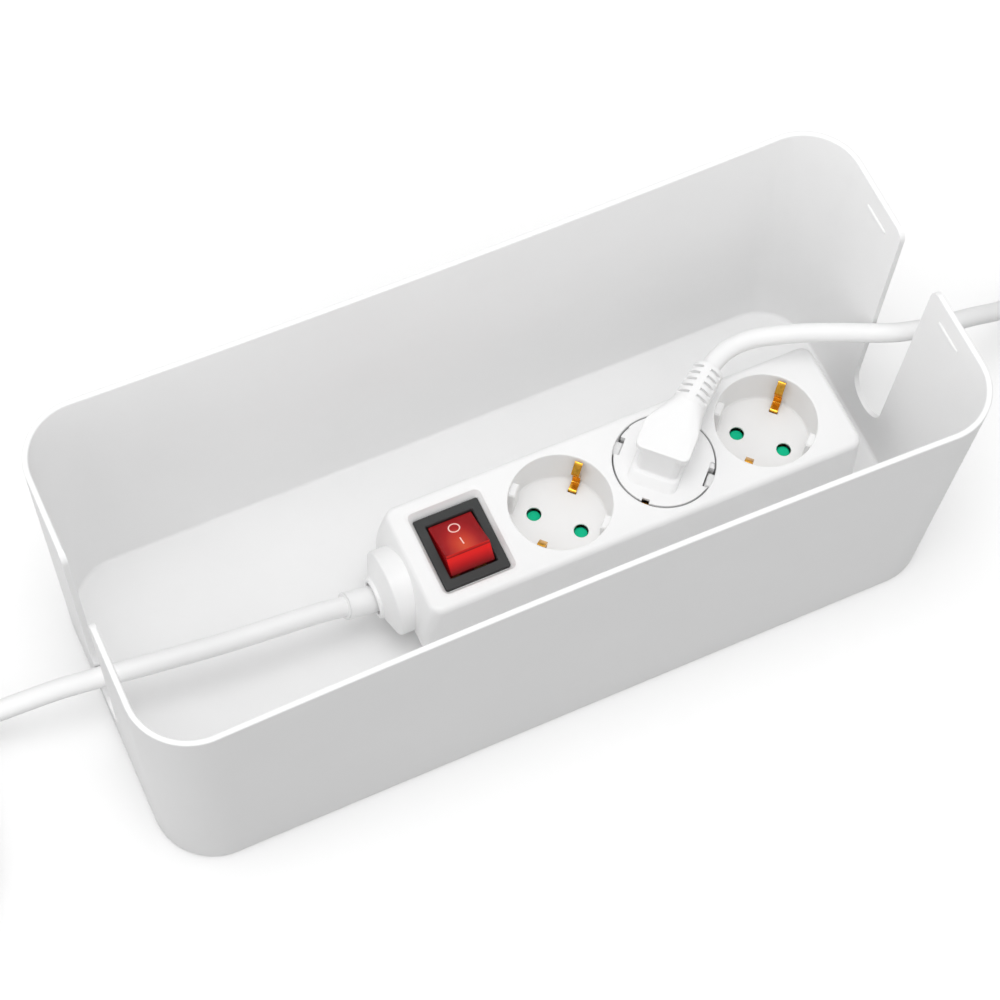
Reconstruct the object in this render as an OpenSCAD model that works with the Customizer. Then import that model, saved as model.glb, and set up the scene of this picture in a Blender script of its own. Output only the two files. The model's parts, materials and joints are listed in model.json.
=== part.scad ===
// Cable management box: an open tub that holds a switched three-way socket strip.
// X runs along the box, Y to its rear and Z up. The origin is the middle of the box's underside.
// Every length is in millimetres.

/* [Box] */
// Length of the tub at its rim
box_l = 322.4; // [310:0.1:360]
// Width of the tub at its rim
box_w = 136.5; // [125:0.1:170]
// Height of the tub
box_h = 123.6; // [110:0.1:150]
// How much each wall leans in from the rim to the floor
box_draft = 3.4; // [1:0.1:5]
// Thickness of the tub's walls
box_wall = 2.2; // [1.6:0.1:3]
// Thickness of the tub's floor
box_floor = 2.5; // [1.6:0.1:4]
// Radius of the tub's upright corners
box_corner_r = 22.9; // [12:0.1:30]
// How far the long walls curve inwards at mid-length
box_bow = 1.6; // [0:0.1:2.5]
// Radius of the rounding under the tub
box_foot_r = 1.5; // [0.5:0.1:2.2]
// Radius of the rounding along the rim
box_rim_r = 0.7; // [0.3:0.1:0.9]

/* [Lead slots] */
// Half-width of a lead slot at its round bottom
slot_r = 10.3; // [8:0.1:14]
// Extra half-width of a slot at the rim
slot_flare = 1.5; // [0:0.1:4]
// Height of the round bottom's centre
slot_z = 28; // [24:0.5:45]
// Radius where a slot runs out into the rim
slot_lip_r = 5; // [2:0.1:8]
// Depth of the snap beads below the rim
bead_drop = 10.5; // [6:0.1:16]
// Height that a snap bead stands out of its wall
bead_h = 0.8; // [0.4:0.1:1.4]
// Length of a snap bead
bead_l = 13; // [8:0.5:18]
// Distance of a snap bead's middle from the slot
bead_y = 27; // [24:0.5:30]

/* [Strip housing] */
// Length of the socket strip at its edges
strip_l = 178.3; // [176:0.1:190]
// Width of the strip at its top edge
strip_w = 47.3; // [46:0.1:52]
// Height of the strip
strip_h = 42; // [40:0.1:46]
// Distance of the strip's left end from the box's middle
strip_left = 39.5; // [36:0.1:48]
// Distance of the strip's middle line in front of the box's middle line
strip_front = 1.8; // [0:0.1:6]
// How much each side widens towards the base
strip_draft = 1.3; // [0.5:0.1:1.8]
// How far the left end swells at mid-height
end_bulge = 4.3; // [2:0.1:5]
// Corner radius of the strip in plan
strip_corner_r = 5; // [3:0.1:7]
// Rounding of the strip's top edges
strip_edge_r = 2.5; // [1:0.1:3]
// Thickness of the strip's walls
shell_t = 2.2; // [1.6:0.1:2.4]
// Height of the lower shell
shell_h = 8; // [7:0.1:9]

/* [Sockets] */
// Distance between neighbouring sockets
socket_pitch = 43.2; // [42.6:0.1:44]
// Distance of the first socket from the strip's left end
first_socket = 61.6; // [61:0.1:63]
// Radius of a well at its floor
well_r = 19.3; // [19.2:0.05:19.6]
// Extra radius of a well at its mouth
well_flare = 0.4; // [0.2:0.05:0.6]
// Depth of a well
well_depth = 17.5; // [17:0.1:18]
// Rounding at the mouth of a well
mouth_r = 0.8; // [0.4:0.1:1.2]
// Angle of the pin line from the strip's length
pin_angle = -45; // [-60:1:-30]
// Distance between the two pins of a plug
pin_pitch = 19; // [18.8:0.1:19.2]
// Diameter of the pin holes
pin_hole_d = 5.7; // [5.2:0.1:6.2]
// Width of the guide ribs
guide_w = 5; // [4:0.1:5.4]
// How far a guide rib stands out of the well's wall
guide_h = 2.3; // [1.5:0.1:2.6]
// Depth of a guide rib's end below the mouth
guide_drop = 3; // [1:0.1:6]

/* [Earth clips] */
// Width of an earth clip
clip_w = 4; // [3:0.1:5]
// Thickness of an earth clip
clip_t = 0.9; // [0.6:0.05:1.1]
// Distance of a clip's foot from the socket's axis
clip_foot = 13.7; // [13.4:0.1:14.4]
// How far a clip's kink stands in from its tip
clip_kink = 1.2; // [0.6:0.1:1.6]
// Height of a clip's kink above the well's floor
kink_up = 8.5; // [7:0.1:10]
// Depth of a clip's tip below the mouth
clip_drop = 0.8; // [0.4:0.1:3]

/* [Shutters] */
// Radius of a shutter disc
shutter_r = 12.4; // [12.2:0.05:12.6]
// Thickness of a shutter disc
shutter_t = 2; // [1.5:0.1:2.2]
// Angle that a shutter turns to open
shutter_turn = 42; // [40:1:60]
// Radius of the boss that a shutter turns on
hub_r = 1.6; // [1.4:0.05:2]
// Running clearance of a shutter on its boss
hub_gap = 0.05; // [0.02:0.01:0.1]

/* [Switch] */
// Length of the recess round the switch, along the strip
recess_l = 31.3; // [31:0.1:34]
// Width of the recess round the switch
recess_w = 37.3; // [36:0.1:38]
// Depth of the recess
recess_depth = 4.1; // [3:0.1:5]
// How much the recess narrows down to its floor
recess_slope = 1.2; // [0.4:0.1:1.5]
// Distance of the switch from the strip's left end
switch_from_end = 21.35; // [21:0.05:22]
// Length of the switch frame, along the strip
frame_l = 26.3; // [26:0.1:27]
// Width of the switch frame
frame_w = 30.7; // [30:0.1:32]
// Thickness of the switch frame's rim
frame_t = 1.8; // [1.2:0.1:2.4]
// Length of the window, along the strip
window_l = 19; // [18.6:0.1:19.6]
// Width of the window
window_w = 23; // [22.9:0.1:24]
// Side clearance of the rocker in its window
rocker_gap = 0.7; // [0.4:0.1:1]
// Height of the rocker's ridges above its pivot
rocker_h = 7.3; // [6.6:0.1:8]
// Half-width of the rocker at its ridges
rocker_top = 8.9; // [8:0.1:9.4]
// Tilt of the rocker at rest
rocker_tilt = 23; // [20:0.5:25]
// Radius of the rocker's pivots
pivot_r = 1.5; // [1.2:0.1:1.8]

/* [Gland] */
// Radius of the gland's flange
gland_r = 16.7; // [14:0.1:17.5]
// Length of the gland's flange past the strip's end
gland_l = 5.3; // [4:0.1:7]
// Length of the gland's cone
gland_cone_l = 3.4; // [2:0.1:5]
// Radius of the gland's neck
gland_neck_r = 8.1; // [7.6:0.1:9]
// Length of the gland's neck
gland_neck_l = 1.5; // [1:0.1:3]
// Radius of the gland's bore
gland_bore_r = 6.3; // [6:0.1:6.6]
// Height of the gland's axis above the strip's underside
gland_z = 22; // [21.5:0.1:22.5]
// Diameter of the strain relief sleeve
sleeve_d = 10.4; // [10.2:0.1:10.8]

/* [Leads] */
// Diameter of the supply lead
supply_d = 7.8; // [7:0.1:8.4]
// Diameter of the appliance lead
appliance_d = 7.4; // [6.6:0.1:8]
// Diameter of the insulated wires
wire_d = 2.6; // [2:0.1:3]
// Turns of the supply lead's coil
supply_turns = 4; // [3:1:5]
// Turns of the appliance lead's coil
appliance_turns = 5; // [3:1:6]
// Least free space between the turns of a coil
coil_gap = 0.6; // [0.5:0.1:1.5]
// Width of the cable ties
tie_w = 5; // [3:0.5:8]
// Thickness of the cable ties
tie_t = 0.8; // [0.6:0.1:1.2]

/* [Plugs] */
// Radius of a plug where it enters a well
plug_r = 18.7; // [18.3:0.1:18.8]
// Diameter of a plug's pins
pin_d = 4.8; // [4.7:0.05:4.85]
// Length of a plug's pins
pin_l = 19; // [18.5:0.1:19]
// Space between a seated plug and the well's floor
plug_seat = 0.3; // [0.2:0.1:0.6]
// Thickness of a plug's earth plates
plate_t = 0.8; // [0.6:0.1:1]
// Width of a plug's earth plates
plate_w = 7; // [6:0.1:8]
// Height of the angled plug above the strip's top
plug_h = 17.5; // [16:0.1:24]
// Length of the straight plug's grip
grip_l = 20; // [16:0.5:40]
// Length of the connector on the appliance lead
connector_l = 38; // [30:0.5:50]
// Width of the connector
connector_w = 26; // [24:0.5:30]
// Height of the connector
connector_h = 18.6; // [17:0.1:22]

/* [Hidden] */

ROUND = 48;
SMALL_ROUND = 24;
EPS = 0.01;
CORNER_STEPS = 8;
BOW_STEPS = 6;
EDGE_STEPS = 5;
BULGE_STEPS = 10;
COIL_SOFT = 20;
CORD_SIDES = 10;
COIL_SIDES = 6;
COIL_RINGS = 24;

white = "#f2f2f2";
dark = "#4a4a4a";
black = "#1c1c1e";
red = "#d4161c";
green = "#10b88c";
gold = "#c9a860";
brass = "#c8a040";
steel = "#b8bcc0";

// Space between parts that only just clear each other
part_gap = 0.3;

// Places on the strip
strip_x0 = -strip_left;
strip_x1 = strip_x0 + strip_l;
strip_y = -strip_front;
strip_z0 = box_floor;
strip_z1 = strip_z0 + strip_h;
part_z = strip_z0 + shell_h;
SOCKETS = [for (i = [0:2]) strip_x0 + first_socket + i * socket_pitch];
well_z = strip_z1 - well_depth;
cup_t = 2.6;
cup_floor_t = 2;
cup_z = well_z - cup_floor_t;
pin_r = pin_d / 2;
pin_dx = pin_pitch / 2 * cos(pin_angle);
pin_dy = -pin_pitch / 2 * sin(pin_angle);

// Places under the wells
shutter_gap = 0.4;
shutter_z1 = cup_z - shutter_gap;
shutter_z0 = shutter_z1 - shutter_t;
earth_t = 1.2;
earth_z1 = shutter_z0 - 2.8;
earth_z0 = earth_z1 - earth_t;
earth_reach = socket_pitch / 2 + 1.2;
rail_z0 = strip_z0 + 7.5;
rail_z1 = earth_z0 - 0.8;
tube_r = 3.5;
tube_gap = 0.06;
rail_t = 1.2;
rail_end = 9.5;
rail_off = tube_r - 0.4;

// Screws
screw_r = 1.3;
screw_head_r = 2.7;
screw_head_h = 1.6;
screw_sink = 2.4;
screw_boss_r = 3.4;
screw_reach = 9;
screw_y = strip_w / 2 - shell_t - 3.9;
SCREW_X = [strip_x0 + 4.6, SOCKETS[0] + socket_pitch / 2,
    SOCKETS[1] + socket_pitch / 2, strip_x1 - 5.4];

// Places in the switch
switch_x = strip_x0 + switch_from_end;
switch_y = strip_y + 0.15;
recess_z = strip_z1 - recess_depth;
frame_z = recess_z + frame_t;
switch_wall = 1.4;
switch_body_l = window_l + 2 * switch_wall;
switch_body_w = window_w + 2 * switch_wall;
switch_body_h = 13.4;
switch_z0 = recess_z - switch_body_h;
pivot_z = frame_z - 4.1;
rocker_l = window_l - 2 * rocker_gap;
pivot_gap = 0.05;
blade_w = 4.8;
blade_t = 0.8;
blade_l = 9;
blade_x = 5.4;
blade_y = 8;
contact_t = 1;

// Places in the gland
gland_y = strip_y + 0.15;
gland_axis_z = strip_z0 + gland_z;
gland_x = strip_x0 - end_bulge;
gland_end = gland_x - gland_l - gland_cone_l - gland_neck_l;
spigot_r = 7.8;
spigot_fit = 0.2;
spigot_in = 4.6;

// Cord clamp
clamp_x = strip_x0 + 6.2;
clamp_l = 5;
clamp_half_w = 10;
clamp_screw_y = 7;
clamp_screw_r = 1.2;
saddle_dz = 2;
clamp_h = 5;

// Sleeve and supply lead: places along the route from the gland to the coil
sleeve_points = [[-46, 0, 0], [-54.5, 0, 0], [-57, 0, 0.5], [-60, 0, 1.3], [-64, 0, 2.6],
    [-67.4, 0, 3.7]];
SLEEVE = [for (p = sleeve_points) [p[0], gland_y + p[1], gland_axis_z + p[2]]];
supply_rest = supply_d / 2 + tie_t;
supply_route = [[-67.4, -1.65, 28.2], [-74, -1.6, 30.3], [-82, -1.3, 31.3], [-92, -0.7, 31.6],
    [-102, 0, 31.7], [-114, 0.9, 32], [-126, 2.1, 32.3], [-137, 3.3, 32.5], [-148, 4.7, 32.5],
    [-157.5, 6, 32.5], [-165, 7.1, 31.9], [-172, 8.4, 30.6], [-179, 9.6, 28.7], [-187, 11.1, 25.8],
    [-195, 12.9, 22], [-204, 15.4, 17.2], [-213, 18.5, 12.8], [-222, 22.1, 9.2], [-231, 26, 6.5],
    [-240, 29.8, 5.2], [-249, 33, supply_rest], [-258, 35.1, supply_rest], [-267, 36, supply_rest]];
supply_heading = 180;
supply_hand = -1;
supply_coil_r = 46.1;
coil_tail = [[8, 0], [17, 0.1], [27, 0.6], [36, 1], [44, 1]];

// Angled plug and appliance lead: places along the route from the plug to the coil
boot_start = [79, 9.2, 57];
boot_end = [93.2, 20.1, 57];
appliance_rest = appliance_d / 2 + tie_t;
appliance_route = [[93.6, 20.4, 57], [96, 22.15, 57], [100.6, 24.4, 57.1], [105.7, 25.8, 57.3],
    [111.2, 26, 57.7], [117, 25.1, 58.2], [124.5, 22.6, 59], [132, 19.8, 59.7], [139, 16.6, 60.4],
    [146, 12.9, 61.5], [152, 9.2, 63], [158.5, 5.6, 64.2], [165, 3.4, 63.8], [172, 2.4, 62.3],
    [178.5, 2.1, 60], [186, 2.5, 56.8],
    [193.5, 3.4, 53.4], [201, 4.6, 49], [208, 5.9, 44], [215.6, 7.7, 38], [223, 10.1, 31.8],
    [230, 12.9, 25.6], [237, 16.1, 19.6], [245, 19.9, 13.5], [253, 23.5, 8.7], [261, 26.4, 5.8],
    [270, 28.3, 4.6], [278, 28.9, appliance_rest], [286, 28.9, appliance_rest]];
appliance_heading = 0;
appliance_hand = 1;
appliance_coil_r = 39.8;
plate_y = well_r - part_gap - clip_t - clip_kink - 0.4 - plate_t;

// Angled plug: its foot, column and cap in the socket's axes, as [x0, x1, y0, y1]
plug_foot = [-11.4, 8.7, -15.5, 12];
plug_column = [-8.7, 7, -8, 10];
plug_cap = [-11, 10, -7, 7];
plug_cap_t = 3;
supply_tie_at = 30;
appliance_tie_at = 210;

// ---------- shared shapes ----------

function arc(c, r, a0, a1, n) =
    [for (i = [0:n]) let (a = a0 + (a1 - a0) * i / n) [c[0] + r * cos(a), c[1] + r * sin(a)]];
function unit(v) = v / norm(v);
function at_z(ring, z) = [for (p = ring) [p[0], p[1], z]];
function total(v, i = 0) = i < len(v) ? v[i] + total(v, i + 1) : 0;
function path_l(p) = total([for (i = [1:len(p) - 1]) norm(p[i] - p[i - 1])]);

// A solid through equal rings of points, listed anticlockwise as seen from its far end
module loft(rings) {
    n = len(rings[0]);
    m = len(rings);
    sides = [for (k = [0:m - 2], i = [0:n - 1])
        let (j = (i + 1) % n, a = k * n + i, b = k * n + j) each [[a, a + n, b + n], [a, b + n, b]]];
    caps = [[for (i = [0:n - 1]) i], [for (i = [n - 1:-1:0]) (m - 1) * n + i]];
    polyhedron(points = [for (r = rings) each r], faces = concat(sides, caps));
}

// Direction of a path at one of its points
function heading(p, i) =
    i == 0 ? unit(p[1] - p[0]) :
    i == len(p) - 1 ? unit(p[i] - p[i - 1]) :
    unit(unit(p[i + 1] - p[i]) + unit(p[i] - p[i - 1]));

function ring_at(c, t, r, sides, ref) =
    let (s = unit(cross(ref, t)), u = cross(t, s))
    [for (k = [0:sides - 1]) let (a = 360 * (k + 0.5) / sides) c + r * (cos(a) * s + sin(a) * u)];

// A round tube of diameter d along a path
module tube(p, d, sides = CORD_SIDES, ref = [0, 0, 1]) {
    loft([for (i = [0:len(p) - 1]) ring_at(p[i], heading(p, i), d / 2, sides, ref)]);
}

// A rounded box from a corner to the opposite corner, with r on its upright edges
module slab(x0, x1, y0, y1, z0, z1, r) {
    outline = concat(arc([x1 - r, y1 - r], r, 0, 90, 6), arc([x0 + r, y1 - r], r, 90, 180, 6),
        arc([x0 + r, y0 + r], r, 180, 270, 6), arc([x1 - r, y0 + r], r, 270, 360, 6));
    translate([0, 0, z0]) linear_extrude(z1 - z0) polygon(outline);
}

// ---------- box ----------

function tub_ring(inset, lean) =
    let (l = box_l / 2 - inset - lean, w = box_w / 2 - inset - lean, r = box_corner_r - inset,
        hx = l - r, hy = w - r, bow = box_bow * (1 - lean / box_draft * 0.9),
        side = [for (i = [1:BOW_STEPS - 1]) let (s = 1 - 2 * i / BOW_STEPS)
            [hx * s, w - bow * (1 - s * s)]])
    concat(arc([hx, hy], r, 0, 90, CORNER_STEPS), side,
        arc([-hx, hy], r, 90, 180, CORNER_STEPS), arc([-hx, -hy], r, 180, 270, CORNER_STEPS),
        [for (p = side) -p], arc([hx, -hy], r, 270, 360, CORNER_STEPS));

function lean_at(z) = box_draft * (1 - z / box_h);
function tub_level(z, inset) = at_z(tub_ring(inset, lean_at(z)), z);

module tub_skin() {
    loft(concat(
        [for (i = [0:3]) let (a = 90 * i / 3)
            tub_level(box_foot_r * (1 - cos(a)), box_foot_r * (1 - sin(a)))],
        [for (i = [0:2]) let (a = 90 * i / 2)
            tub_level(box_h - box_rim_r * (1 - sin(a)), box_rim_r * (1 - cos(a)))]));
}

module tub_room() {
    inner_r = box_foot_r;
    loft(concat(
        [for (i = [0:2]) let (a = 90 * i / 2)
            tub_level(box_floor + inner_r * (1 - cos(a)), box_wall + inner_r * (1 - sin(a)))],
        [tub_level(box_h - box_rim_r, box_wall),
            tub_level(box_h - box_rim_r * 0.3, box_wall - box_rim_r * 0.3),
            tub_level(box_h + EPS, box_wall - box_rim_r)]));
}

module slot_cut() {
    top = slot_r + slot_flare;
    lip = slot_lip_r;
    over = 5;
    outline = concat(
        [[top + lip, box_h + over], [-top - lip, box_h + over]],
        arc([-top - lip, box_h - lip], lip, 90, 0, 6),
        arc([0, slot_z], slot_r, 180, 360, 20),
        arc([top + lip, box_h - lip], lip, 180, 90, 6));
    rotate([90, 0, 90]) linear_extrude(box_l + 10, center = true) polygon(outline);
}

module snap_bead(side, y) {
    z = box_h - bead_drop;
    x = box_l / 2 - lean_at(z) - box_wall;
    bead_r = (bead_h + box_wall) * 0.4;
    translate([side * (x + bead_r - bead_h), y, z])
        rotate([90, 0, 0]) cylinder(h = bead_l, r = bead_r, center = true, $fn = SMALL_ROUND);
}

module box_tub() {
    color(white) difference() {
        union() {
            difference() {
                tub_skin();
                tub_room();
            }
            for (side = [-1, 1], y = [-bead_y, bead_y]) snap_bead(side, y);
        }
        slot_cut();
    }
}

// ---------- strip housing ----------

// The strip's outline seen from the front, drawn in by an inset
function strip_front_view(inset) =
    let (r = max(strip_edge_r - inset, 0.3), x1 = strip_x1 - inset,
        z0 = strip_z0 + inset, z1 = strip_z1 - inset, h = strip_h,
        big = (h * h / 4 + end_bulge * end_bulge) / (2 * end_bulge),
        c = [strip_x0 - end_bulge + big, (strip_z0 + strip_z1) / 2], rb = big - inset,
        hi = asin((z1 - r - c[1]) / (rb - r)), lo = asin((c[1] - z0) / rb))
    concat([[x1 + strip_draft, z0]],
        arc([x1 - r, z1 - r], r, 0, 90, EDGE_STEPS),
        arc([c[0] - (rb - r) * cos(hi), z1 - r], r, 90, 180 - hi, EDGE_STEPS),
        [for (i = [1:BULGE_STEPS]) let (a = 180 - hi + (hi + lo) * i / BULGE_STEPS)
            [c[0] + rb * cos(a), c[1] + rb * sin(a)]]);

// The strip's outline seen from its end
function strip_end_view(inset) =
    let (r = max(strip_edge_r - inset, 0.3), w = strip_w / 2 - inset, z0 = strip_z0 + inset,
        z1 = strip_z1 - inset)
    concat([[-w - strip_draft, z0], [w + strip_draft, z0]],
        arc([w - r, z1 - r], r, 0, 90, EDGE_STEPS), arc([-w + r, z1 - r], r, 90, 180, EDGE_STEPS));

module strip_block(inset) {
    x0 = strip_x0 - end_bulge + inset;
    x1 = strip_x1 + strip_draft - inset;
    w = strip_w / 2 + strip_draft - inset;
    intersection() {
        translate([0, strip_y + w + 1, 0]) rotate([90, 0, 0]) linear_extrude(2 * w + 2)
            polygon(strip_front_view(inset));
        translate([x0 - 1, strip_y, 0]) rotate([90, 0, 90]) linear_extrude(x1 - x0 + 2)
            polygon(strip_end_view(inset));
        slab(x0, x1, strip_y - w, strip_y + w, strip_z0 - 1, strip_z1 + 1,
            max(strip_corner_r - inset, 1));
    }
}

module well_cut() {
    over = 2;
    profile = concat([[0, well_z], [well_r, well_z]],
        arc([well_r + well_flare + mouth_r, strip_z1 - mouth_r], mouth_r, 180, 90, 5),
        [[well_r + well_flare + mouth_r, strip_z1 + over], [0, strip_z1 + over]]);
    rotate_extrude($fn = ROUND) polygon(profile);
}

// What stands in a well, in the well's own axes with the pins along X
module guide_ribs() {
    top = strip_z1 - guide_drop;
    for (side = [0, 180]) rotate([0, 0, side])
        translate([well_r - guide_h, -guide_w / 2, well_z - EPS])
            cube([guide_h + cup_t / 2, guide_w, top - well_z]);
}

module floor_holes() {
    deep = cup_floor_t + 1;
    slit = clip_t + 0.5;
    for (side = [-1, 1]) {
        translate([side * pin_pitch / 2, 0, well_z - deep])
            cylinder(h = deep + EPS, d = pin_hole_d, $fn = SMALL_ROUND);
        translate([-clip_w / 2 - 0.3, side * (clip_foot + clip_t / 2) - slit / 2, well_z - deep])
            cube([clip_w + 0.6, slit, deep + EPS]);
    }
}

module at_socket(i) {
    translate([SOCKETS[i], strip_y, 0]) rotate([0, 0, pin_angle]) children();
}

module recess_cut() {
    l = recess_l / 2;
    w = recess_w / 2;
    s = recess_slope;
    hull() {
        slab(switch_x - l, switch_x + l, switch_y - w, switch_y + w, strip_z1, strip_z1 + 1, 2.5);
        slab(switch_x - l + s, switch_x + l - s, switch_y - w + s, switch_y + w - s,
            recess_z, recess_z + EPS, 2);
    }
}

module switch_hole() {
    fit = 0.2;
    translate([switch_x, switch_y, recess_z - 5])
        cube([switch_body_l + 2 * fit, switch_body_w + 2 * fit, 12], center = true);
}

module gland_hole() {
    translate([gland_x - 2, gland_y, gland_axis_z]) rotate([0, 90, 0])
        cylinder(h = 12, r = spigot_r + spigot_fit, $fn = ROUND);
}

module upper_housing() {
    recess_floor_t = 2;
    color(white) difference() {
        union() {
            difference() {
                strip_block(0);
                strip_block(shell_t);
            }
            intersection() {
                union() {
                    for (x = SOCKETS) translate([x, strip_y, cup_z])
                        cylinder(h = strip_z1 - cup_z, r = well_r + cup_t, $fn = ROUND);
                    slab(switch_x - recess_l / 2 - shell_t, switch_x + recess_l / 2 + shell_t,
                        strip_y - strip_w / 2, strip_y + strip_w / 2,
                        recess_z - recess_floor_t, strip_z1, 2);
                    for (x = SCREW_X, side = [-1, 1])
                        translate([x, strip_y + side * screw_y, part_z])
                            cylinder(h = strip_z1 - part_z, r = screw_boss_r, $fn = SMALL_ROUND);
                }
                strip_block(EPS);
            }
        }
        translate([strip_x0 - 20, strip_y - strip_w, strip_z0 - 1])
            cube([strip_l + 40, 2 * strip_w, part_z - strip_z0 + 1]);
        for (i = [0:2]) translate([SOCKETS[i], strip_y, 0]) difference() {
            well_cut();
            rotate([0, 0, pin_angle]) guide_ribs();
        }
        for (i = [0:2]) at_socket(i) floor_holes();
        recess_cut();
        switch_hole();
        gland_hole();
        for (x = SCREW_X, side = [-1, 1]) translate([x, strip_y + side * screw_y, part_z - 1])
            cylinder(h = screw_reach + 1, r = screw_r, $fn = SMALL_ROUND);
    }
    color(white) for (x = SOCKETS) translate([x, strip_y, 0]) shutter_boss();
}

// The pin under a well that its shutter turns on
module shutter_boss() {
    translate([0, 0, earth_z1 + shutter_gap])
        cylinder(h = cup_z - earth_z1 - shutter_gap + 0.5, r = hub_r, $fn = SMALL_ROUND);
}

module lower_housing() {
    rib_t = 1.8;
    color("#ececec") difference() {
        union() {
            intersection() {
                difference() {
                    strip_block(0);
                    strip_block(shell_t);
                }
                translate([strip_x0 - 20, strip_y - strip_w, strip_z0 - 1])
                    cube([strip_l + 40, 2 * strip_w, part_z - strip_z0 + 1]);
            }
            for (x = SCREW_X, side = [-1, 1]) translate([x, strip_y + side * screw_y, strip_z0])
                cylinder(h = shell_h, r = screw_boss_r, $fn = SMALL_ROUND);
            for (x = rib_places()) {
                translate([x - rib_t / 2, strip_y - pin_dy - 7, strip_z0 + 1])
                    cube([rib_t, 2 * pin_dy + 14, rail_z0 - strip_z0 - 1]);
                translate([x - rib_t / 2, strip_y - 2, strip_z0 + 1])
                    cube([rib_t, 4, earth_z0 - strip_z0 - 1]);
            }
            clamp_saddle();
        }
        for (x = SCREW_X, side = [-1, 1]) translate([x, strip_y + side * screw_y, strip_z0 - 1]) {
            cylinder(h = screw_sink + screw_head_h + 1, r = screw_head_r + 0.2, $fn = SMALL_ROUND);
            cylinder(h = shell_h + 2, r = screw_r + 0.2, $fn = SMALL_ROUND);
        }
    }
}

function rib_places() =
    [SOCKETS[0] - socket_pitch / 2, SOCKETS[0] + socket_pitch / 2, SOCKETS[1] + socket_pitch / 2,
        SOCKETS[2] + socket_pitch / 2];

module clamp_saddle() {
    translate([clamp_x - clamp_l / 2, gland_y, strip_z0 + 1]) difference() {
        translate([0, -clamp_half_w, 0])
            cube([clamp_l, 2 * clamp_half_w, gland_z - saddle_dz - 1]);
        translate([-1, 0, gland_z - 1]) rotate([0, 90, 0])
            cylinder(h = clamp_l + 2, d = supply_d, $fn = SMALL_ROUND);
        for (side = [-1, 1])
            translate([clamp_l / 2, side * clamp_screw_y, gland_z - saddle_dz - 9])
                cylinder(h = 10, r = clamp_screw_r, $fn = SMALL_ROUND);
    }
}

module cord_clamp() {
    color(white) translate([clamp_x - clamp_l / 2, gland_y, gland_axis_z]) difference() {
        translate([0, -clamp_half_w, saddle_dz]) cube([clamp_l, 2 * clamp_half_w, clamp_h]);
        translate([-1, 0, 0]) rotate([0, 90, 0])
            cylinder(h = clamp_l + 2, d = supply_d, $fn = SMALL_ROUND);
        for (side = [-1, 1]) translate([clamp_l / 2, side * clamp_screw_y, 0])
            cylinder(h = 10, r = clamp_screw_r + 0.1, $fn = SMALL_ROUND);
    }
}

module clamp_screws() {
    bite = 6;
    head_h = 1.5;
    color(steel) for (side = [-1, 1])
        translate([clamp_x, gland_y + side * clamp_screw_y, gland_axis_z - saddle_dz - bite]) {
            cylinder(h = bite + 2 * saddle_dz + clamp_h, r = clamp_screw_r, $fn = SMALL_ROUND);
            translate([0, 0, bite + 2 * saddle_dz + clamp_h])
                cylinder(h = head_h, r = clamp_screw_r + 1, $fn = SMALL_ROUND);
        }
}

module housing_screws() {
    color(steel) for (x = SCREW_X, side = [-1, 1])
        translate([x, strip_y + side * screw_y, strip_z0 + screw_sink]) {
            difference() {
                cylinder(h = screw_head_h, r = screw_head_r, $fn = SMALL_ROUND);
                translate([0, 0, -EPS]) cube([0.8, 3.6, 1.6], center = true);
                translate([0, 0, -EPS]) cube([3.6, 0.8, 1.6], center = true);
            }
            translate([0, 0, screw_head_h - EPS])
                cylinder(h = shell_h - screw_sink - screw_head_h + screw_reach - 1, r = screw_r,
                    $fn = SMALL_ROUND);
        }
}

// ---------- sockets ----------

// A line rail with a sleeve for one pin of each plug; side is 1 at the rear and -1 at the front
module line_rail(side) {
    y = strip_y + side * pin_dy;
    bar_y = side * (rail_off + rail_t / 2);
    x0 = SOCKETS[0] - side * pin_dx - rail_end;
    x1 = SOCKETS[2] - side * pin_dx + rail_end;
    h = rail_z1 - rail_z0;
    color(brass) difference() {
        union() {
            for (x = SOCKETS) translate([x - side * pin_dx, y, rail_z0])
                cylinder(h = h, r = tube_r, $fn = SMALL_ROUND);
            translate([x0, y + bar_y - rail_t / 2, rail_z0]) cube([x1 - x0, rail_t, h]);
        }
        for (x = SOCKETS) translate([x - side * pin_dx, y, rail_z0 - 1])
            cylinder(h = h + 2, r = pin_r + tube_gap, $fn = SMALL_ROUND);
    }
}

module live_rail() {
    line_rail(1);
}

module neutral_rail() {
    line_rail(-1);
}

// One earth clip standing in a well, drawn in the radial plane: distance out, then height
module earth_leg() {
    tip_r = well_r - 0.3;
    tip_z = strip_z1 - clip_drop;
    kink_r = tip_r - clip_t - clip_kink;
    foot_z = well_z + 0.2;
    kink_z = well_z + kink_up;
    outline = [[clip_foot, earth_z0], [clip_foot, foot_z + clip_t], [tip_r - clip_t, foot_z + clip_t],
        [tip_r - clip_t, foot_z + 4], [kink_r, kink_z], [tip_r - clip_t, tip_z], [tip_r, tip_z],
        [kink_r + clip_t, kink_z], [tip_r, foot_z + 4], [tip_r, foot_z],
        [clip_foot + clip_t, foot_z], [clip_foot + clip_t, earth_z0]];
    rotate([90, 0, 90]) linear_extrude(clip_w, center = true) polygon(outline);
}

module earth_rail() {
    bar_w = 4;
    tie_bar_w = 5;
    color(gold) {
        translate([SOCKETS[0] - earth_reach, strip_y - bar_w / 2, earth_z0])
            cube([SOCKETS[2] - SOCKETS[0] + 2 * earth_reach, bar_w, earth_t]);
        for (i = [0:2]) at_socket(i) {
            translate([-tie_bar_w / 2, -clip_foot - clip_t, earth_z0])
                cube([tie_bar_w, 2 * (clip_foot + clip_t), earth_t]);
            earth_leg();
            mirror([0, 1, 0]) earth_leg();
        }
    }
}

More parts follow.
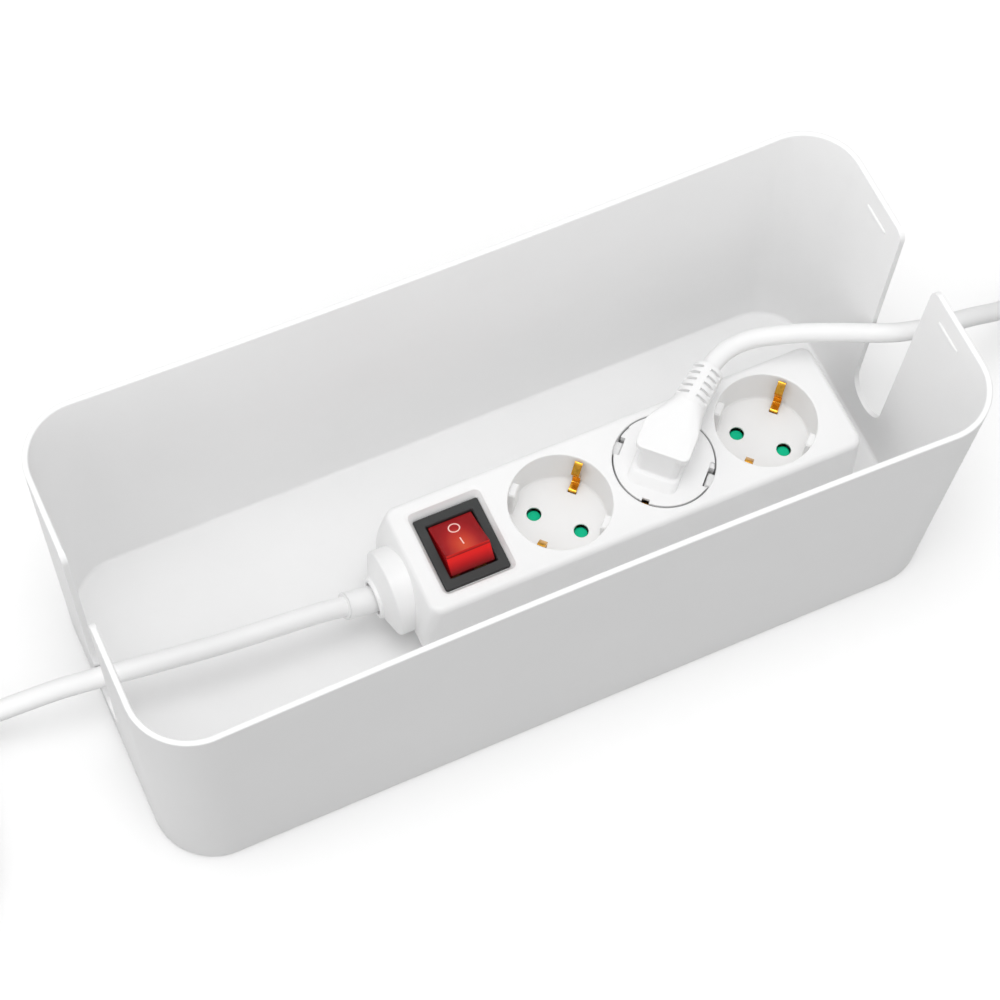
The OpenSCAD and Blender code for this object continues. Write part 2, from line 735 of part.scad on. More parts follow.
// A shutter disc with its two holes turned away from the pin holes by an angle
module shutter(i, angle) {
    hole_d = pin_d + 0.6;
    at_socket(i) rotate([0, 0, angle]) translate([0, 0, shutter_z0]) color(green) difference() {
        cylinder(h = shutter_t, r = shutter_r, $fn = ROUND);
        translate([0, 0, -1]) cylinder(h = shutter_t + 2, r = hub_r + hub_gap, $fn = SMALL_ROUND);
        for (side = [-1, 1]) translate([side * pin_pitch / 2, 0, -1])
            cylinder(h = shutter_t + 2, d = hole_d, $fn = SMALL_ROUND);
    }
}

module socket_shutter_1() {
    shutter(0, shutter_turn);
}

module socket_shutter_2() {
    shutter(1, 0);
}

module socket_shutter_3() {
    shutter(2, shutter_turn);
}

// The return spring under a shutter, as its outer sleeve
module shutter_spring(i) {
    spring_r = 3;
    wire = 0.7;
    rest = 0.1;
    at_socket(i) translate([0, 0, earth_z1]) color(steel) difference() {
        cylinder(h = shutter_z0 - earth_z1 - rest, r = spring_r, $fn = SMALL_ROUND);
        translate([0, 0, -1]) cylinder(h = 6, r = spring_r - wire, $fn = SMALL_ROUND);
    }
}

module shutter_spring_1() {
    shutter_spring(0);
}

module shutter_spring_2() {
    shutter_spring(1);
}

module shutter_spring_3() {
    shutter_spring(2);
}

// ---------- switch ----------

module switch_frame() {
    slot_t = 0.15;
    color(dark) difference() {
        union() {
            slab(switch_x - frame_l / 2, switch_x + frame_l / 2, switch_y - frame_w / 2,
                switch_y + frame_w / 2, recess_z, frame_z, 0.6);
            translate([switch_x - switch_body_l / 2, switch_y - switch_body_w / 2, switch_z0])
                cube([switch_body_l, switch_body_w, switch_body_h + EPS]);
        }
        translate([switch_x - window_l / 2, switch_y - window_w / 2, switch_z0 + switch_wall])
            cube([window_l, window_w, frame_z]);
        translate([switch_x, switch_y, pivot_z]) rotate([0, 90, 0])
            cylinder(h = window_l + 2 * switch_wall + 2, r = pivot_r + pivot_gap, center = true,
                $fn = SMALL_ROUND);
        for (sx = [-1, 1], sy = [-1, 1])
            translate([switch_x + sx * blade_x, switch_y + sy * blade_y, switch_z0])
                cube([blade_w + 2 * slot_t, blade_t + 2 * slot_t, 4], center = true);
    }
}

module switch_rocker() {
    foot = window_w / 2 - 0.3;
    sag = 0.5;
    top = [for (i = [0:6]) let (s = 1 - i / 3) [rocker_top * s, rocker_h - sag * (1 - s * s)]];
    outline = concat(top, [[-foot, -0.8], [-foot + 1.8, -3.4], [-3, -4.6], [3, -4.6],
        [foot - 1.8, -3.4], [foot, -0.8]]);
    reach = switch_wall + rocker_gap - 0.2;
    color(red) translate([switch_x, switch_y, pivot_z]) rotate([-rocker_tilt, 0, 0]) {
        rotate([90, 0, 90]) linear_extrude(rocker_l, center = true) polygon(outline);
        rotate([0, 90, 0])
            cylinder(h = rocker_l + 2 * reach, r = pivot_r, center = true, $fn = SMALL_ROUND);
    }
}

module switch_terminals() {
    color(brass) for (sx = [-1, 1], sy = [-1, 1])
        translate([switch_x + sx * blade_x, switch_y + sy * blade_y, switch_z0 + switch_wall]) {
            translate([-blade_w / 2, -2, 0]) cube([blade_w, 4, contact_t]);
            translate([-blade_w / 2, -blade_t / 2, -switch_wall - blade_l])
                cube([blade_w, blade_t, switch_wall + blade_l + EPS]);
        }
}

module neon_lamp() {
    lamp_r = 1.4;
    lamp_l = 7;
    color("#ff8a3c") translate([switch_x - lamp_l / 2, switch_y, switch_z0 + switch_wall + lamp_r])
        rotate([0, 90, 0]) cylinder(h = lamp_l, r = lamp_r, $fn = SMALL_ROUND);
}

// ---------- gland and inner wiring ----------

module gland_cap() {
    flange_x = gland_x - gland_l;
    cone_x = flange_x - gland_cone_l;
    color(white) difference() {
        union() {
            difference() {
                translate([flange_x, gland_y, gland_axis_z]) rotate([0, 90, 0])
                    cylinder(h = gland_l + 4, r = gland_r, $fn = ROUND);
                strip_block(0);
            }
            translate([cone_x, gland_y, gland_axis_z]) rotate([0, 90, 0])
                cylinder(h = gland_cone_l, r1 = gland_neck_r, r2 = gland_r, $fn = ROUND);
            translate([gland_end, gland_y, gland_axis_z]) rotate([0, 90, 0])
                cylinder(h = gland_neck_l + EPS, r = gland_neck_r, $fn = ROUND);
            translate([gland_x - 1, gland_y, gland_axis_z]) rotate([0, 90, 0])
                cylinder(h = spigot_in, r = spigot_r, $fn = ROUND);
        }
        translate([gland_end - 1, gland_y, gland_axis_z]) rotate([0, 90, 0])
            cylinder(h = gland_neck_l + gland_cone_l + 2, r = gland_bore_r, $fn = ROUND);
        translate([gland_end - 1, gland_y, gland_axis_z]) rotate([0, 90, 0])
            cylinder(h = 40, d = sleeve_d, $fn = ROUND);
    }
}

module cord_sleeve() {
    color(white) tube(SLEEVE, sleeve_d, 16);
}

module inner_jacket() {
    x0 = SLEEVE[0][0] + part_gap;
    x1 = clamp_x + clamp_l / 2 + 0.6;
    color(white) translate([x0, gland_y, gland_axis_z]) rotate([0, 90, 0])
        cylinder(h = x1 - x0, d = supply_d, $fn = SMALL_ROUND);
}

// Wires leave the jacket's end and reach the switch's blades and the rails
jacket_end = clamp_x + clamp_l / 2 + 0.6;
blade_z = switch_z0 - blade_l;
function wire_start(a) = [jacket_end + part_gap, gland_y + 2 * cos(a), gland_axis_z + 2 * sin(a)];
function wire_down(a, target) =
    let (s = wire_start(a))
    [s, s + [1.5, 0, 0], [s[0] + 2.8, (s[1] * 3 + target[1]) / 4, s[2] - 2.4],
        [(s[0] * 2 + target[0]) / 3 + 1, (s[1] + target[1]) / 2, s[2] - 8],
        [(s[0] + 2 * target[0]) / 3, target[1], target[2] - 3.6],
        [target[0] - 0.6, target[1], target[2] - 3.4], [target[0], target[1], target[2] - 2],
        target];

module live_wire() {
    color("#7a4a2a") tube(wire_down(20, [switch_x - blade_x, switch_y + blade_y, blade_z]),
        wire_d, 8, [0, 1, 0]);
}

module neutral_wire() {
    color("#3a66b0") tube(wire_down(160, [switch_x - blade_x, switch_y - blade_y, blade_z]),
        wire_d, 8, [0, 1, 0]);
}

module earth_wire() {
    s = wire_start(270);
    x1 = SOCKETS[0] - earth_reach;
    z1 = (earth_z0 + earth_z1) / 2;
    route = [s, s + [1.5, 0, 0], [s[0] + 4, gland_y, s[2] - 3], [s[0] + 8, gland_y, z1 - 4],
        [switch_x, gland_y, z1 - 5], [switch_x + 8, strip_y, z1 - 4],
        [x1 - 6, strip_y, z1 - 1], [x1 - 2, strip_y, z1], [x1, strip_y, z1]];
    color("#8ab83a") tube(route, wire_d, 8, [0, 1, 0]);
}

// A wire from an outgoing blade of the switch to the end of its rail
module link_wire(side) {
    b = [switch_x + blade_x, switch_y + side * blade_y, blade_z];
    e = [SOCKETS[0] - side * pin_dx - rail_end,
        strip_y + side * (pin_dy + rail_off + rail_t / 2), (rail_z0 + rail_z1) / 2];
    mid = (b + e) / 2;
    tube([b, b - [0, 0, 2], b + [0.8, 0, -3.6], [mid[0] - 2, mid[1], e[2] + 0.2],
        [e[0] - 4, e[1], e[2]], e], wire_d, 8, [0, 1, 0]);
}

module live_link() {
    color("#7a4a2a") link_wire(1);
}

module neutral_link() {
    color("#3a66b0") link_wire(-1);
}

// ---------- coils ----------

function coil_step(d) = d + coil_gap;
function coil_r_in(d, r_mid, turns) = r_mid - coil_step(d) * turns / 4;
function coil_r(off, d, r_mid, turns) =
    coil_r_in(d, r_mid, turns) + coil_step(d) * sqrt(off * off + COIL_SOFT * COIL_SOFT) / 360;
function coil_centre(start, dir, hand, d, r_mid, turns) =
    [start[0], start[1]] + d * [cos(dir), sin(dir)]
    + coil_r(180 * turns, d, r_mid, turns) * [cos(dir - 90 * hand), sin(dir - 90 * hand)];
function climb(off) = off < -90 ? 0 : off > 90 ? 1 : (1 + sin(off)) / 2;

// Centreline of a coil that turns to the right (hand 1) or left (hand -1): in along the lower
// layer, up in the half turn where it reverses, out along the upper one, and away along a tail
function coil_path(start, dir, hand, d, r_mid, turns, tail, tail_z) =
    let (c = coil_centre(start, dir, hand, d, r_mid, turns), n = ceil(COIL_RINGS * turns),
        sweep = 360 * turns, z0 = start[2], z1 = z0 + coil_step(d), out = dir - hand * sweep,
        turn = [for (i = [0:n]) let (t = sweep * i / n, a = dir + hand * (90 - t), off = t - sweep / 2,
            r = coil_r(off, d, r_mid, turns))
            [c[0] + r * cos(a), c[1] + r * sin(a), z0 + (z1 - z0) * climb(off)]],
        last = turn[n])
    concat([start], turn,
        [for (p = tail) last + [p[0] * cos(out), p[0] * sin(out), p[1] * (tail_z - z1)]]);

// Least free space between parts of a tube that lie more than a third of a turn apart
function seg_gap(p, a, b) =
    let (ab = b - a, t = min(1, max(0, (p - a) * ab / (ab * ab)))) norm(p - a - t * ab);
function coil_least(p, d) =
    min([for (i = [0:len(p) - 10]) for (j = [i + 8:len(p) - 2]) seg_gap(p[i], p[j], p[j + 1])]) - d;

supply_last = supply_route[len(supply_route) - 1];
appliance_last = appliance_route[len(appliance_route) - 1];
SUPPLY_COIL = coil_path(supply_last, supply_heading, supply_hand, supply_d, supply_coil_r,
    supply_turns, coil_tail, plug_r);
APPLIANCE_COIL = coil_path(appliance_last, appliance_heading, appliance_hand, appliance_d,
    appliance_coil_r, appliance_turns, coil_tail, connector_h / 2);

echo(supply_coil_gap = coil_least(SUPPLY_COIL, supply_d));
echo(appliance_coil_gap = coil_least(APPLIANCE_COIL, appliance_d));
echo(supply_free = path_l(supply_route), supply_coil = path_l(SUPPLY_COIL),
    supply_length = path_l(supply_route) + path_l(SUPPLY_COIL));
echo(appliance_free = path_l(appliance_route), appliance_coil = path_l(APPLIANCE_COIL),
    appliance_length = path_l(appliance_route) + path_l(APPLIANCE_COIL));

module supply_lead() {
    color(white) tube(supply_route, supply_d);
}

module supply_coil() {
    color(white) tube(SUPPLY_COIL, supply_d, COIL_SIDES);
}

module appliance_lead() {
    color(white) tube(appliance_route, appliance_d);
}

module appliance_coil() {
    color(white) tube(APPLIANCE_COIL, appliance_d, COIL_SIDES);
}

// A cable tie round a coil, at an angle round the coil's centre
module coil_tie(c, d, r_mid, turns, angle) {
    slack = 0.2;
    r0 = coil_r_in(d, r_mid, turns) - d / 2 - slack;
    r1 = coil_r(180 * turns, d, r_mid, turns) + d / 2 + slack;
    h = d + coil_step(d);
    color(black) translate([c[0], c[1], 0]) rotate([0, 0, angle]) difference() {
        translate([r0 - tie_t, -tie_w / 2, 0]) cube([r1 - r0 + 2 * tie_t, tie_w, h + 2 * tie_t]);
        translate([r0, -tie_w, tie_t]) cube([r1 - r0, 2 * tie_w, h]);
    }
}

module supply_tie() {
    coil_tie(coil_centre(supply_last, supply_heading, supply_hand, supply_d, supply_coil_r,
        supply_turns), supply_d, supply_coil_r, supply_turns, supply_tie_at);
}

module appliance_tie() {
    coil_tie(coil_centre(appliance_last, appliance_heading, appliance_hand, appliance_d,
        appliance_coil_r, appliance_turns), appliance_d, appliance_coil_r, appliance_turns,
        appliance_tie_at);
}

// ---------- plugs ----------

// Draws along the line from a to b, with Z pointing to b
module along(a, b) {
    d = b - a;
    translate(a) rotate([0, acos(d[2] / norm(d)), atan2(d[1], d[0])]) children();
}

// The part of a plug that enters a well: pins leave its face at z = 0 and lie along X
module plug_insert(h) {
    notch_x = well_r - guide_h - 0.4;
    notch_w = guide_w + 0.8;
    foot_y = clip_foot - 0.4;
    foot_w = clip_w + 0.8;
    foot_h = 1.6;
    difference() {
        cylinder(h = h, r = plug_r, $fn = ROUND);
        for (side = [-1, 1]) {
            translate([side * (notch_x + 5), 0, 0]) cube([10, notch_w, 4 * h], center = true);
            translate([0, side * (plate_y + 5), 0])
                cube([plate_w + 0.4, 10, 4 * h], center = true);
            translate([0, side * (foot_y + 5), 0]) cube([foot_w, 10, 2 * foot_h], center = true);
        }
    }
}

module earth_plates(h) {
    for (side = [-1, 1]) translate([0, side * (plate_y + plate_t / 2), (h + 2) / 2])
        cube([plate_w, plate_t, h - 2], center = true);
}

module plug_pin() {
    tip = 1;
    cylinder(h = tip, r1 = pin_r - 0.7, r2 = pin_r, $fn = SMALL_ROUND);
    translate([0, 0, tip]) cylinder(h = pin_l - tip, r = pin_r, $fn = SMALL_ROUND);
}

// A tapered strain relief with rings cut in it, from radius r0 at z = 0 to r1 at z = l
module ribbed_boot(l, r0, r1, rings = 5) {
    groove = 1.3;
    depth = 1;
    function r_at(z) = r0 + (r1 - r0) * z / l;
    cuts = [for (i = [1:rings]) let (z = l * (i + 0.2) / (rings + 1.2)) each [
        [r_at(z - groove / 2), z - groove / 2], [r_at(z) - depth, z - groove / 2],
        [r_at(z) - depth, z + groove / 2], [r_at(z + groove / 2), z + groove / 2]]];
    rotate_extrude($fn = SMALL_ROUND) polygon(concat([[0, 0], [r0, 0]], cuts, [[r1, l], [0, l]]));
}

seat_z = well_z + plug_seat;
insert_h = strip_z1 - seat_z;

module plug_slab(box, z0, z1, r) {
    slab(box[0], box[1], box[2], box[3], z0, z1, r);
}

module appliance_plug_body() {
    neck = 1.5;
    cap_z = strip_z1 + plug_h - plug_cap_t;
    color(white) {
        translate([0, 0, seat_z]) at_socket(1) plug_insert(insert_h);
        at_socket(1) plug_slab(plug_foot, strip_z1 - EPS, strip_z1 + 2.5, 4);
        hull() {
            at_socket(1) plug_slab(plug_column, strip_z1 + 1, cap_z + 1, 2);
            along(boot_start, boot_end) translate([0, 0, -neck]) cylinder(h = neck, r = 6.9, $fn = 32);
        }
        hull() {
            at_socket(1) plug_slab(plug_cap, cap_z, cap_z + plug_cap_t, 3);
            along(boot_start, boot_end) translate([0, 0, -neck]) cylinder(h = neck, r = 6, $fn = 32);
        }
    }
}

module appliance_plug_pins() {
    color(steel) at_socket(1) for (side = [-1, 1])
        translate([side * pin_pitch / 2, 0, seat_z - pin_l]) plug_pin();
}

module appliance_plug_earth() {
    color(steel) translate([0, 0, seat_z]) at_socket(1) earth_plates(insert_h);
}

module appliance_plug_boot() {
    color(white) along(boot_start, boot_end)
        ribbed_boot(norm(boot_end - boot_start), 6.75, 6);
}

// Draws at the end of a lead, with X pointing the way the lead leaves
module at_tail(p) {
    n = len(p);
    d = p[n - 1] - p[n - 2];
    translate(p[n - 1]) rotate([0, 0, atan2(d[1], d[0])]) children();
}

boot_l = 24;
mains_face = boot_l + grip_l + insert_h;

module mains_insert() {
    translate([mains_face, 0, 0]) rotate([0, -90, 0]) rotate([0, 0, 90]) children();
}

module mains_plug_boot() {
    color(white) at_tail(SUPPLY_COIL) rotate([0, 90, 0]) ribbed_boot(boot_l, supply_d / 2 + 1.2, 8);
}

module mains_plug_body() {
    color(white) at_tail(SUPPLY_COIL) {
        mains_insert() plug_insert(insert_h);
        translate([boot_l, 0, 0]) hull() {
            rotate([0, 90, 0]) cylinder(h = 1, r = 9, $fn = 32);
            translate([grip_l / 2, 0, 0]) rotate([0, 90, 0]) cylinder(h = 1, r = 13.5, $fn = 32);
            translate([grip_l - 1, 0, 0]) rotate([0, 90, 0]) cylinder(h = 1, r = plug_r, $fn = 32);
        }
    }
}

module mains_plug_pins() {
    color(steel) at_tail(SUPPLY_COIL) mains_insert() for (side = [-1, 1])
        translate([side * pin_pitch / 2, 0, -pin_l]) plug_pin();
}

module mains_plug_earth() {
    color(steel) at_tail(SUPPLY_COIL) mains_insert() earth_plates(insert_h);
}

// Where the connector's three contacts lie: along its width, then its height
contact_places = [[-7, 1.5], [7, 1.5], [0, -2.5]];
contact_depth = 16;

module connector_boot() {
    color(white) at_tail(APPLIANCE_COIL) rotate([0, 90, 0])
        ribbed_boot(boot_l, appliance_d / 2 + 1.2, 7);
}

module connector_body() {
    slot = [contact_depth, 2.8, 5.2];
    color(white) at_tail(APPLIANCE_COIL) difference() {
        union() {
            translate([boot_l, 0, 0]) hull() {
                rotate([0, 90, 0]) cylinder(h = 1, r = 8, $fn = 32);
                translate([11, 0, 0]) cube([2, connector_w, connector_h], center = true);
            }
            translate([boot_l + 10, -connector_w / 2, -connector_h / 2])
                cube([connector_l - 10, connector_w, connector_h]);
        }
        for (p = contact_places)
            translate([boot_l + connector_l - slot[0] / 2 + EPS, p[0], p[1]]) cube(slot, center = true);
    }
}

module connector_contacts() {
    size = [12, 2.4, 4.8];
    color(brass) at_tail(APPLIANCE_COIL) for (p = contact_places)
        translate([boot_l + connector_l - contact_depth + size[0] / 2 + EPS, p[0], p[1]]) difference() {
            cube(size, center = true);
            translate([2, 0, 0]) cube([size[0], 1, 4], center = true);
        }
}

box_tub();
upper_housing();
lower_housing();
housing_screws();
live_rail();
neutral_rail();
earth_rail();
socket_shutter_1();
socket_shutter_2();
socket_shutter_3();
shutter_spring_1();
shutter_spring_2();
shutter_spring_3();
switch_frame();
switch_rocker();
switch_terminals();
neon_lamp();
gland_cap();
cord_sleeve();
inner_jacket();
cord_clamp();
clamp_screws();
live_wire();
neutral_wire();
earth_wire();
live_link();
neutral_link();
supply_lead();
supply_coil();
supply_tie();
mains_plug_body();
mains_plug_pins();
mains_plug_earth();
mains_plug_boot();
appliance_plug_body();
appliance_plug_pins();
appliance_plug_earth();
appliance_plug_boot();
appliance_lead();
appliance_coil();
appliance_tie();
connector_body();
connector_contacts();
connector_boot();
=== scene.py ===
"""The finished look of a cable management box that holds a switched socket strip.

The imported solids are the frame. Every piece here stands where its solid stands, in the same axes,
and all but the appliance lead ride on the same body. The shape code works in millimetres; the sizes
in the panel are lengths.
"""
import json
import math
from types import SimpleNamespace

import bmesh
import bpy
from bpy.props import FloatProperty, FloatVectorProperty, PointerProperty
from mathutils import Matrix, Vector

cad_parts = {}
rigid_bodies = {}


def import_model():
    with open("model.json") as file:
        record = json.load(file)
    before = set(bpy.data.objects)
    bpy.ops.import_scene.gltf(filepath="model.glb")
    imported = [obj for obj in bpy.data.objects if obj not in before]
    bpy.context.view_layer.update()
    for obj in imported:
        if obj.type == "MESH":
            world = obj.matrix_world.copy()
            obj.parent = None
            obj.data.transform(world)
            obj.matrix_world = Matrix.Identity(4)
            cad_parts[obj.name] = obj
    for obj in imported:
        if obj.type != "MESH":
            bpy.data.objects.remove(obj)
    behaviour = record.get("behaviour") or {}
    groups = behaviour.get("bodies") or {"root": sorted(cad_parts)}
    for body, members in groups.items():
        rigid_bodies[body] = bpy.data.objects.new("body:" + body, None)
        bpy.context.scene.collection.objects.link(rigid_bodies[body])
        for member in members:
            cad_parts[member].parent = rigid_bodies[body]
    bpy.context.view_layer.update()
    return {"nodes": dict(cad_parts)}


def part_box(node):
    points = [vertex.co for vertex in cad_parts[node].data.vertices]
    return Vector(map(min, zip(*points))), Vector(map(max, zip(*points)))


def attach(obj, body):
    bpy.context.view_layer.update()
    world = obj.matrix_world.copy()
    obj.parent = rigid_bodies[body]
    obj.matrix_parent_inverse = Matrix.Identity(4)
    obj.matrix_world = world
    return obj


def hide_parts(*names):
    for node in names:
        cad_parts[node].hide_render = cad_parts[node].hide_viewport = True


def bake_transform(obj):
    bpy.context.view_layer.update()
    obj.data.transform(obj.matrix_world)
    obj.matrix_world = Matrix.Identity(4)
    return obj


bl_info = {
    "name": "Cable box with socket strip",
    "version": (1, 0, 0),
    "blender": (4, 5, 0),
    "location": "3D View > Sidebar > Cable Box",
    "description": "Builds an open cable box, its switched socket strip, the leads and the plugs",
    "category": "Object",
}

for thing in list(bpy.data.objects):
    bpy.data.objects.remove(thing)
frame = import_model()

MM = 0.001

# places that several pieces share, in millimetres and degrees
STRIP_Z = 2.5  # the strip's underside, on the tub's floor
SWITCH_Y = 0.15  # how far the switch and the gland stand behind the strip's middle
GLAND_Z = 24.5  # height of the gland's middle
SOCKET_TURN = -45  # turn of a socket's pins from the strip's length
OPEN_TURN = -42  # turn of the shutter that the plug's pins hold open
CLIP_OUT = 14.15  # a clip's upright leg, out from its socket's middle
CLIP_ASIDE = 0.8  # and to the side, the other way on the other leg
ROCKER_HOLLOW = 0.5  # how far the rocker's top dips between its ridges


# ---------- sizes and colours ----------

def size(name, text, value):
    """A length, with its default given in millimetres."""
    return FloatProperty(name=name, description=text, default=value * MM, unit="LENGTH",
                         precision=5)


def colour(name, text, code):
    """A colour, with its default given as a hex code."""
    return FloatVectorProperty(name=name, description=text, default=linear(code), size=3,
                               subtype="COLOR", min=0, max=1)


def linear(code):
    """The linear colour of a six-digit hex code."""
    parts = [int(code[i:i + 2], 16) / 255 for i in (0, 2, 4)]
    return tuple(c / 12.92 if c <= 0.04045 else ((c + 0.055) / 1.055) ** 2.4 for c in parts)


def in_mm(group):
    """A group's sizes as plain numbers in millimetres."""
    return SimpleNamespace(**{k: getattr(group, k) / MM for k in group.__annotations__})


class CABLEBOX_tub_sizes(bpy.types.PropertyGroup):
    """Sizes of the open tub"""
    length: size("Length", "Length at the rim", 322.4)
    width: size("Width", "Width at the rim", 136.5)
    height: size("Height", "Height of the tub", 123.6)
    draft: size("Draft", "How far each wall leans in at the floor", 3.4)
    wall: size("Wall", "Thickness of the walls", 2.2)
    floor: size("Floor", "Thickness of the floor", 2.5)
    corner: size("Corner", "Radius of the upright corners", 22.9)
    bow: size("Bow", "How far the long walls curve in", 1.6)
    foot: size("Foot", "Rounding under the tub", 1.5)
    rim: size("Rim", "Rounding along the rim", 0.7)
    slot: size("Slot", "Half-width of a lead slot at its bottom", 10.3)
    slot_flare: size("Slot flare", "Extra half-width of a slot at the rim", 1.5)
    slot_z: size("Slot height", "Height of the slot bottom's centre", 28.0)
    slot_lip: size("Slot lip", "Radius where a slot meets the rim", 5.0)
    bead_drop: size("Bead drop", "Depth of the snap beads below the rim", 10.5)
    bead: size("Bead", "How far a snap bead stands out", 0.6)
    bead_l: size("Bead length", "Length of a snap bead", 13.0)
    bead_y: size("Bead place", "Distance of a bead from the slot's middle", 27.0)


class CABLEBOX_strip_sizes(bpy.types.PropertyGroup):
    """Sizes of the socket strip's housing"""
    left: size("Left end", "Distance of the left end from the box's middle", 39.5)
    front: size("Offset", "Distance of the strip in front of the middle", 1.8)
    length: size("Length", "Length of the strip", 178.3)
    width: size("Width", "Width at the top edge", 47.3)
    height: size("Height", "Height of the strip", 42.0)
    draft: size("Draft", "How much each side widens to the base", 1.3)
    bulge: size("Bulge", "How far the left end swells", 4.3)
    corner: size("Corner", "Corner radius in plan", 5.0)
    edge: size("Edge", "Rounding of the top edges", 2.5)
    shell: size("Shell", "Wall thickness", 2.2)
    part: size("Parting height", "Height of the lower shell", 8.0)
    pitch: size("Pitch", "Distance between sockets", 43.2)
    first: size("First socket", "Distance of the first socket from the left end", 61.6)
    well: size("Well", "Radius of a well at its floor", 19.3)
    flare: size("Well flare", "Extra radius at a well's mouth", 0.4)
    depth: size("Well depth", "Depth of a well", 17.5)
    mouth: size("Mouth", "Rounding at a well's mouth", 0.5)
    pins: size("Pin distance", "Distance between the pins", 19.0)
    hole: size("Pin hole", "Diameter of the pin holes", 5.7)
    rib_w: size("Rib width", "Width of a guide rib", 6.0)
    rib_h: size("Rib height", "How far a guide rib stands out", 2.3)
    rib_drop: size("Rib drop", "Depth of a rib's end below the mouth", 3.0)
    recess_l: size("Recess length", "Length of the switch recess", 31.3)
    recess_w: size("Recess width", "Width of the switch recess", 37.3)
    recess: size("Recess depth", "Depth of the switch recess", 4.1)


class CABLEBOX_switch_sizes(bpy.types.PropertyGroup):
    """Sizes of the switch"""
    place: size("Place", "Distance of the switch from the left end", 21.35)
    frame_l: size("Frame length", "Length of the frame", 26.3)
    frame_w: size("Frame width", "Width of the frame", 30.7)
    frame_t: size("Frame thickness", "Thickness of the frame's rim", 1.8)
    window_l: size("Window length", "Length of the window", 19.0)
    window_w: size("Window width", "Width of the window", 23.0)
    rocker: size("Rocker", "Width of the rocker", 17.6)
    ridge: size("Ridge", "Height of the ridges above the pivot", 7.3)
    reach: size("Reach", "Half-width of the rocker at its ridges", 8.9)


class CABLEBOX_lead_sizes(bpy.types.PropertyGroup):
    """Sizes of the leads and plugs"""
    supply: size("Supply lead", "Diameter of the supply lead", 7.8)
    appliance: size("Appliance lead", "Diameter of the appliance lead", 7.4)
    sleeve: size("Sleeve", "Diameter of the strain relief sleeve", 10.4)
    gland: size("Gland", "Radius of the gland's flange", 16.7)
    neck: size("Neck", "Radius of the gland's neck", 8.1)
    plug: size("Plug", "Radius of a plug where it enters a well", 18.7)
    step: size("Coil gap", "Least space between the turns of a coil", 0.6)


class CABLEBOX_colours(bpy.types.PropertyGroup):
    """Colours of the finishes"""
    box: colour("Box", "Colour of the tub", "f8f8f8")
    shell: colour("Shell", "Colour of the strip's housing", "f7f7f7")
    rubber: colour("Rubber", "Colour of the leads", "f6f6f6")
    frame: colour("Switch frame", "Colour of the switch frame", "424343")
    rocker: colour("Rocker", "Darker colour of the rocker", "86080f")
    glow: colour("Glow", "Colour of the rocker over its lamp", "c8482a")
    shutter: colour("Shutter", "Colour of the shutters", "0fd09c")
    clip: colour("Clips", "Colour of the earth clips", "d9a13c")


# ---------- shapes ----------

def arc(cx, cy, r, start, end, steps):
    """Points from one angle to another, in degrees, with both ends."""
    turn = [math.radians(start + (end - start) * i / steps) for i in range(steps + 1)]
    return [(cx + r * math.cos(t), cy + r * math.sin(t)) for t in turn]


def quarter(steps):
    """The angles of a quarter turn, with both ends."""
    return [math.radians(90 * i / steps) for i in range(steps + 1)]


def full_turn(steps):
    """The angles of a full turn in equal steps."""
    return [math.tau * i / steps for i in range(steps)]


def on_side(side, near, far):
    """Two distances from the middle as a range on one side of it, 1 or -1."""
    return sorted((side * near, side * far))


def rounded(x0, x1, y0, y1, r, steps=8):
    """A rectangle with round corners, anticlockwise."""
    return (arc(x1 - r, y1 - r, r, 0, 90, steps) + arc(x0 + r, y1 - r, r, 90, 180, steps)
            + arc(x0 + r, y0 + r, r, 180, 270, steps) + arc(x1 - r, y0 + r, r, 270, 360, steps))


def centred(x, y, half_x, half_y, r, steps=8):
    """A rectangle with round corners about a place."""
    return rounded(x - half_x, x + half_x, y - half_y, y + half_y, r, steps)


def lift(outline, z):
    """An outline as a ring of points at a height."""
    return [(x, y, z) for x, y in outline]


def added(name, data):
    """A new object in the scene."""
    thing = bpy.data.objects.new(name, data)
    bpy.context.scene.collection.objects.link(thing)
    return thing


def solid(name, points, faces):
    """A new mesh object from points in millimetres."""
    mesh = bpy.data.meshes.new(name)
    mesh.from_pydata([Vector(p) * MM for p in points], [], faces)
    mesh.update()
    return added(name, mesh)


def from_draft(name, draft):
    """A new mesh object from an edited mesh, which is let go."""
    mesh = bpy.data.meshes.new(name)
    draft.to_mesh(mesh)
    draft.free()
    return added(name, mesh)


def loft(name, rings):
    """A closed solid through equal rings; each is anticlockwise as seen from the last one."""
    n, m = len(rings[0]), len(rings)
    faces = [(k * n + i, k * n + (i + 1) % n, (k + 1) * n + (i + 1) % n, (k + 1) * n + i)
             for k in range(m - 1) for i in range(n)]
    faces += [tuple(reversed(range(n))), tuple(range((m - 1) * n, m * n))]
    return solid(name, [p for ring in rings for p in ring], faces)


def hoop(name, sections, flip=False):
    """A ring-shaped solid through equal sections, the last joined to the first.

    flip turns its faces over, for sections that run the other way round.
    """
    n, m = len(sections), len(sections[0])
    faces = []
    for i in range(n):
        here, there = i * m, (i + 1) % n * m
        for k in range(m):
            after = (k + 1) % m
            one, other = here + after, there + k
            if flip:
                one, other = other, one
            faces.append((here + k, one, there + after, other))
    return solid(name, [p for section in sections for p in section], faces)


def prism(name, outline, z0, z1):
    """An outline drawn up from one height to another."""
    return loft(name, [lift(outline, z0), lift(outline, z1)])


def block(name, x0, x1, y0, y1, z0, z1, r=0.3):
    """A box with round upright edges, used to cut or join."""
    return prism(name, rounded(x0, x1, y0, y1, r, 4), z0, z1)


def block_at(name, x, y, half_x, half_y, z0, z1, r=0.3):
    """The same about a place in plan."""
    return prism(name, centred(x, y, half_x, half_y, r, 4), z0, z1)


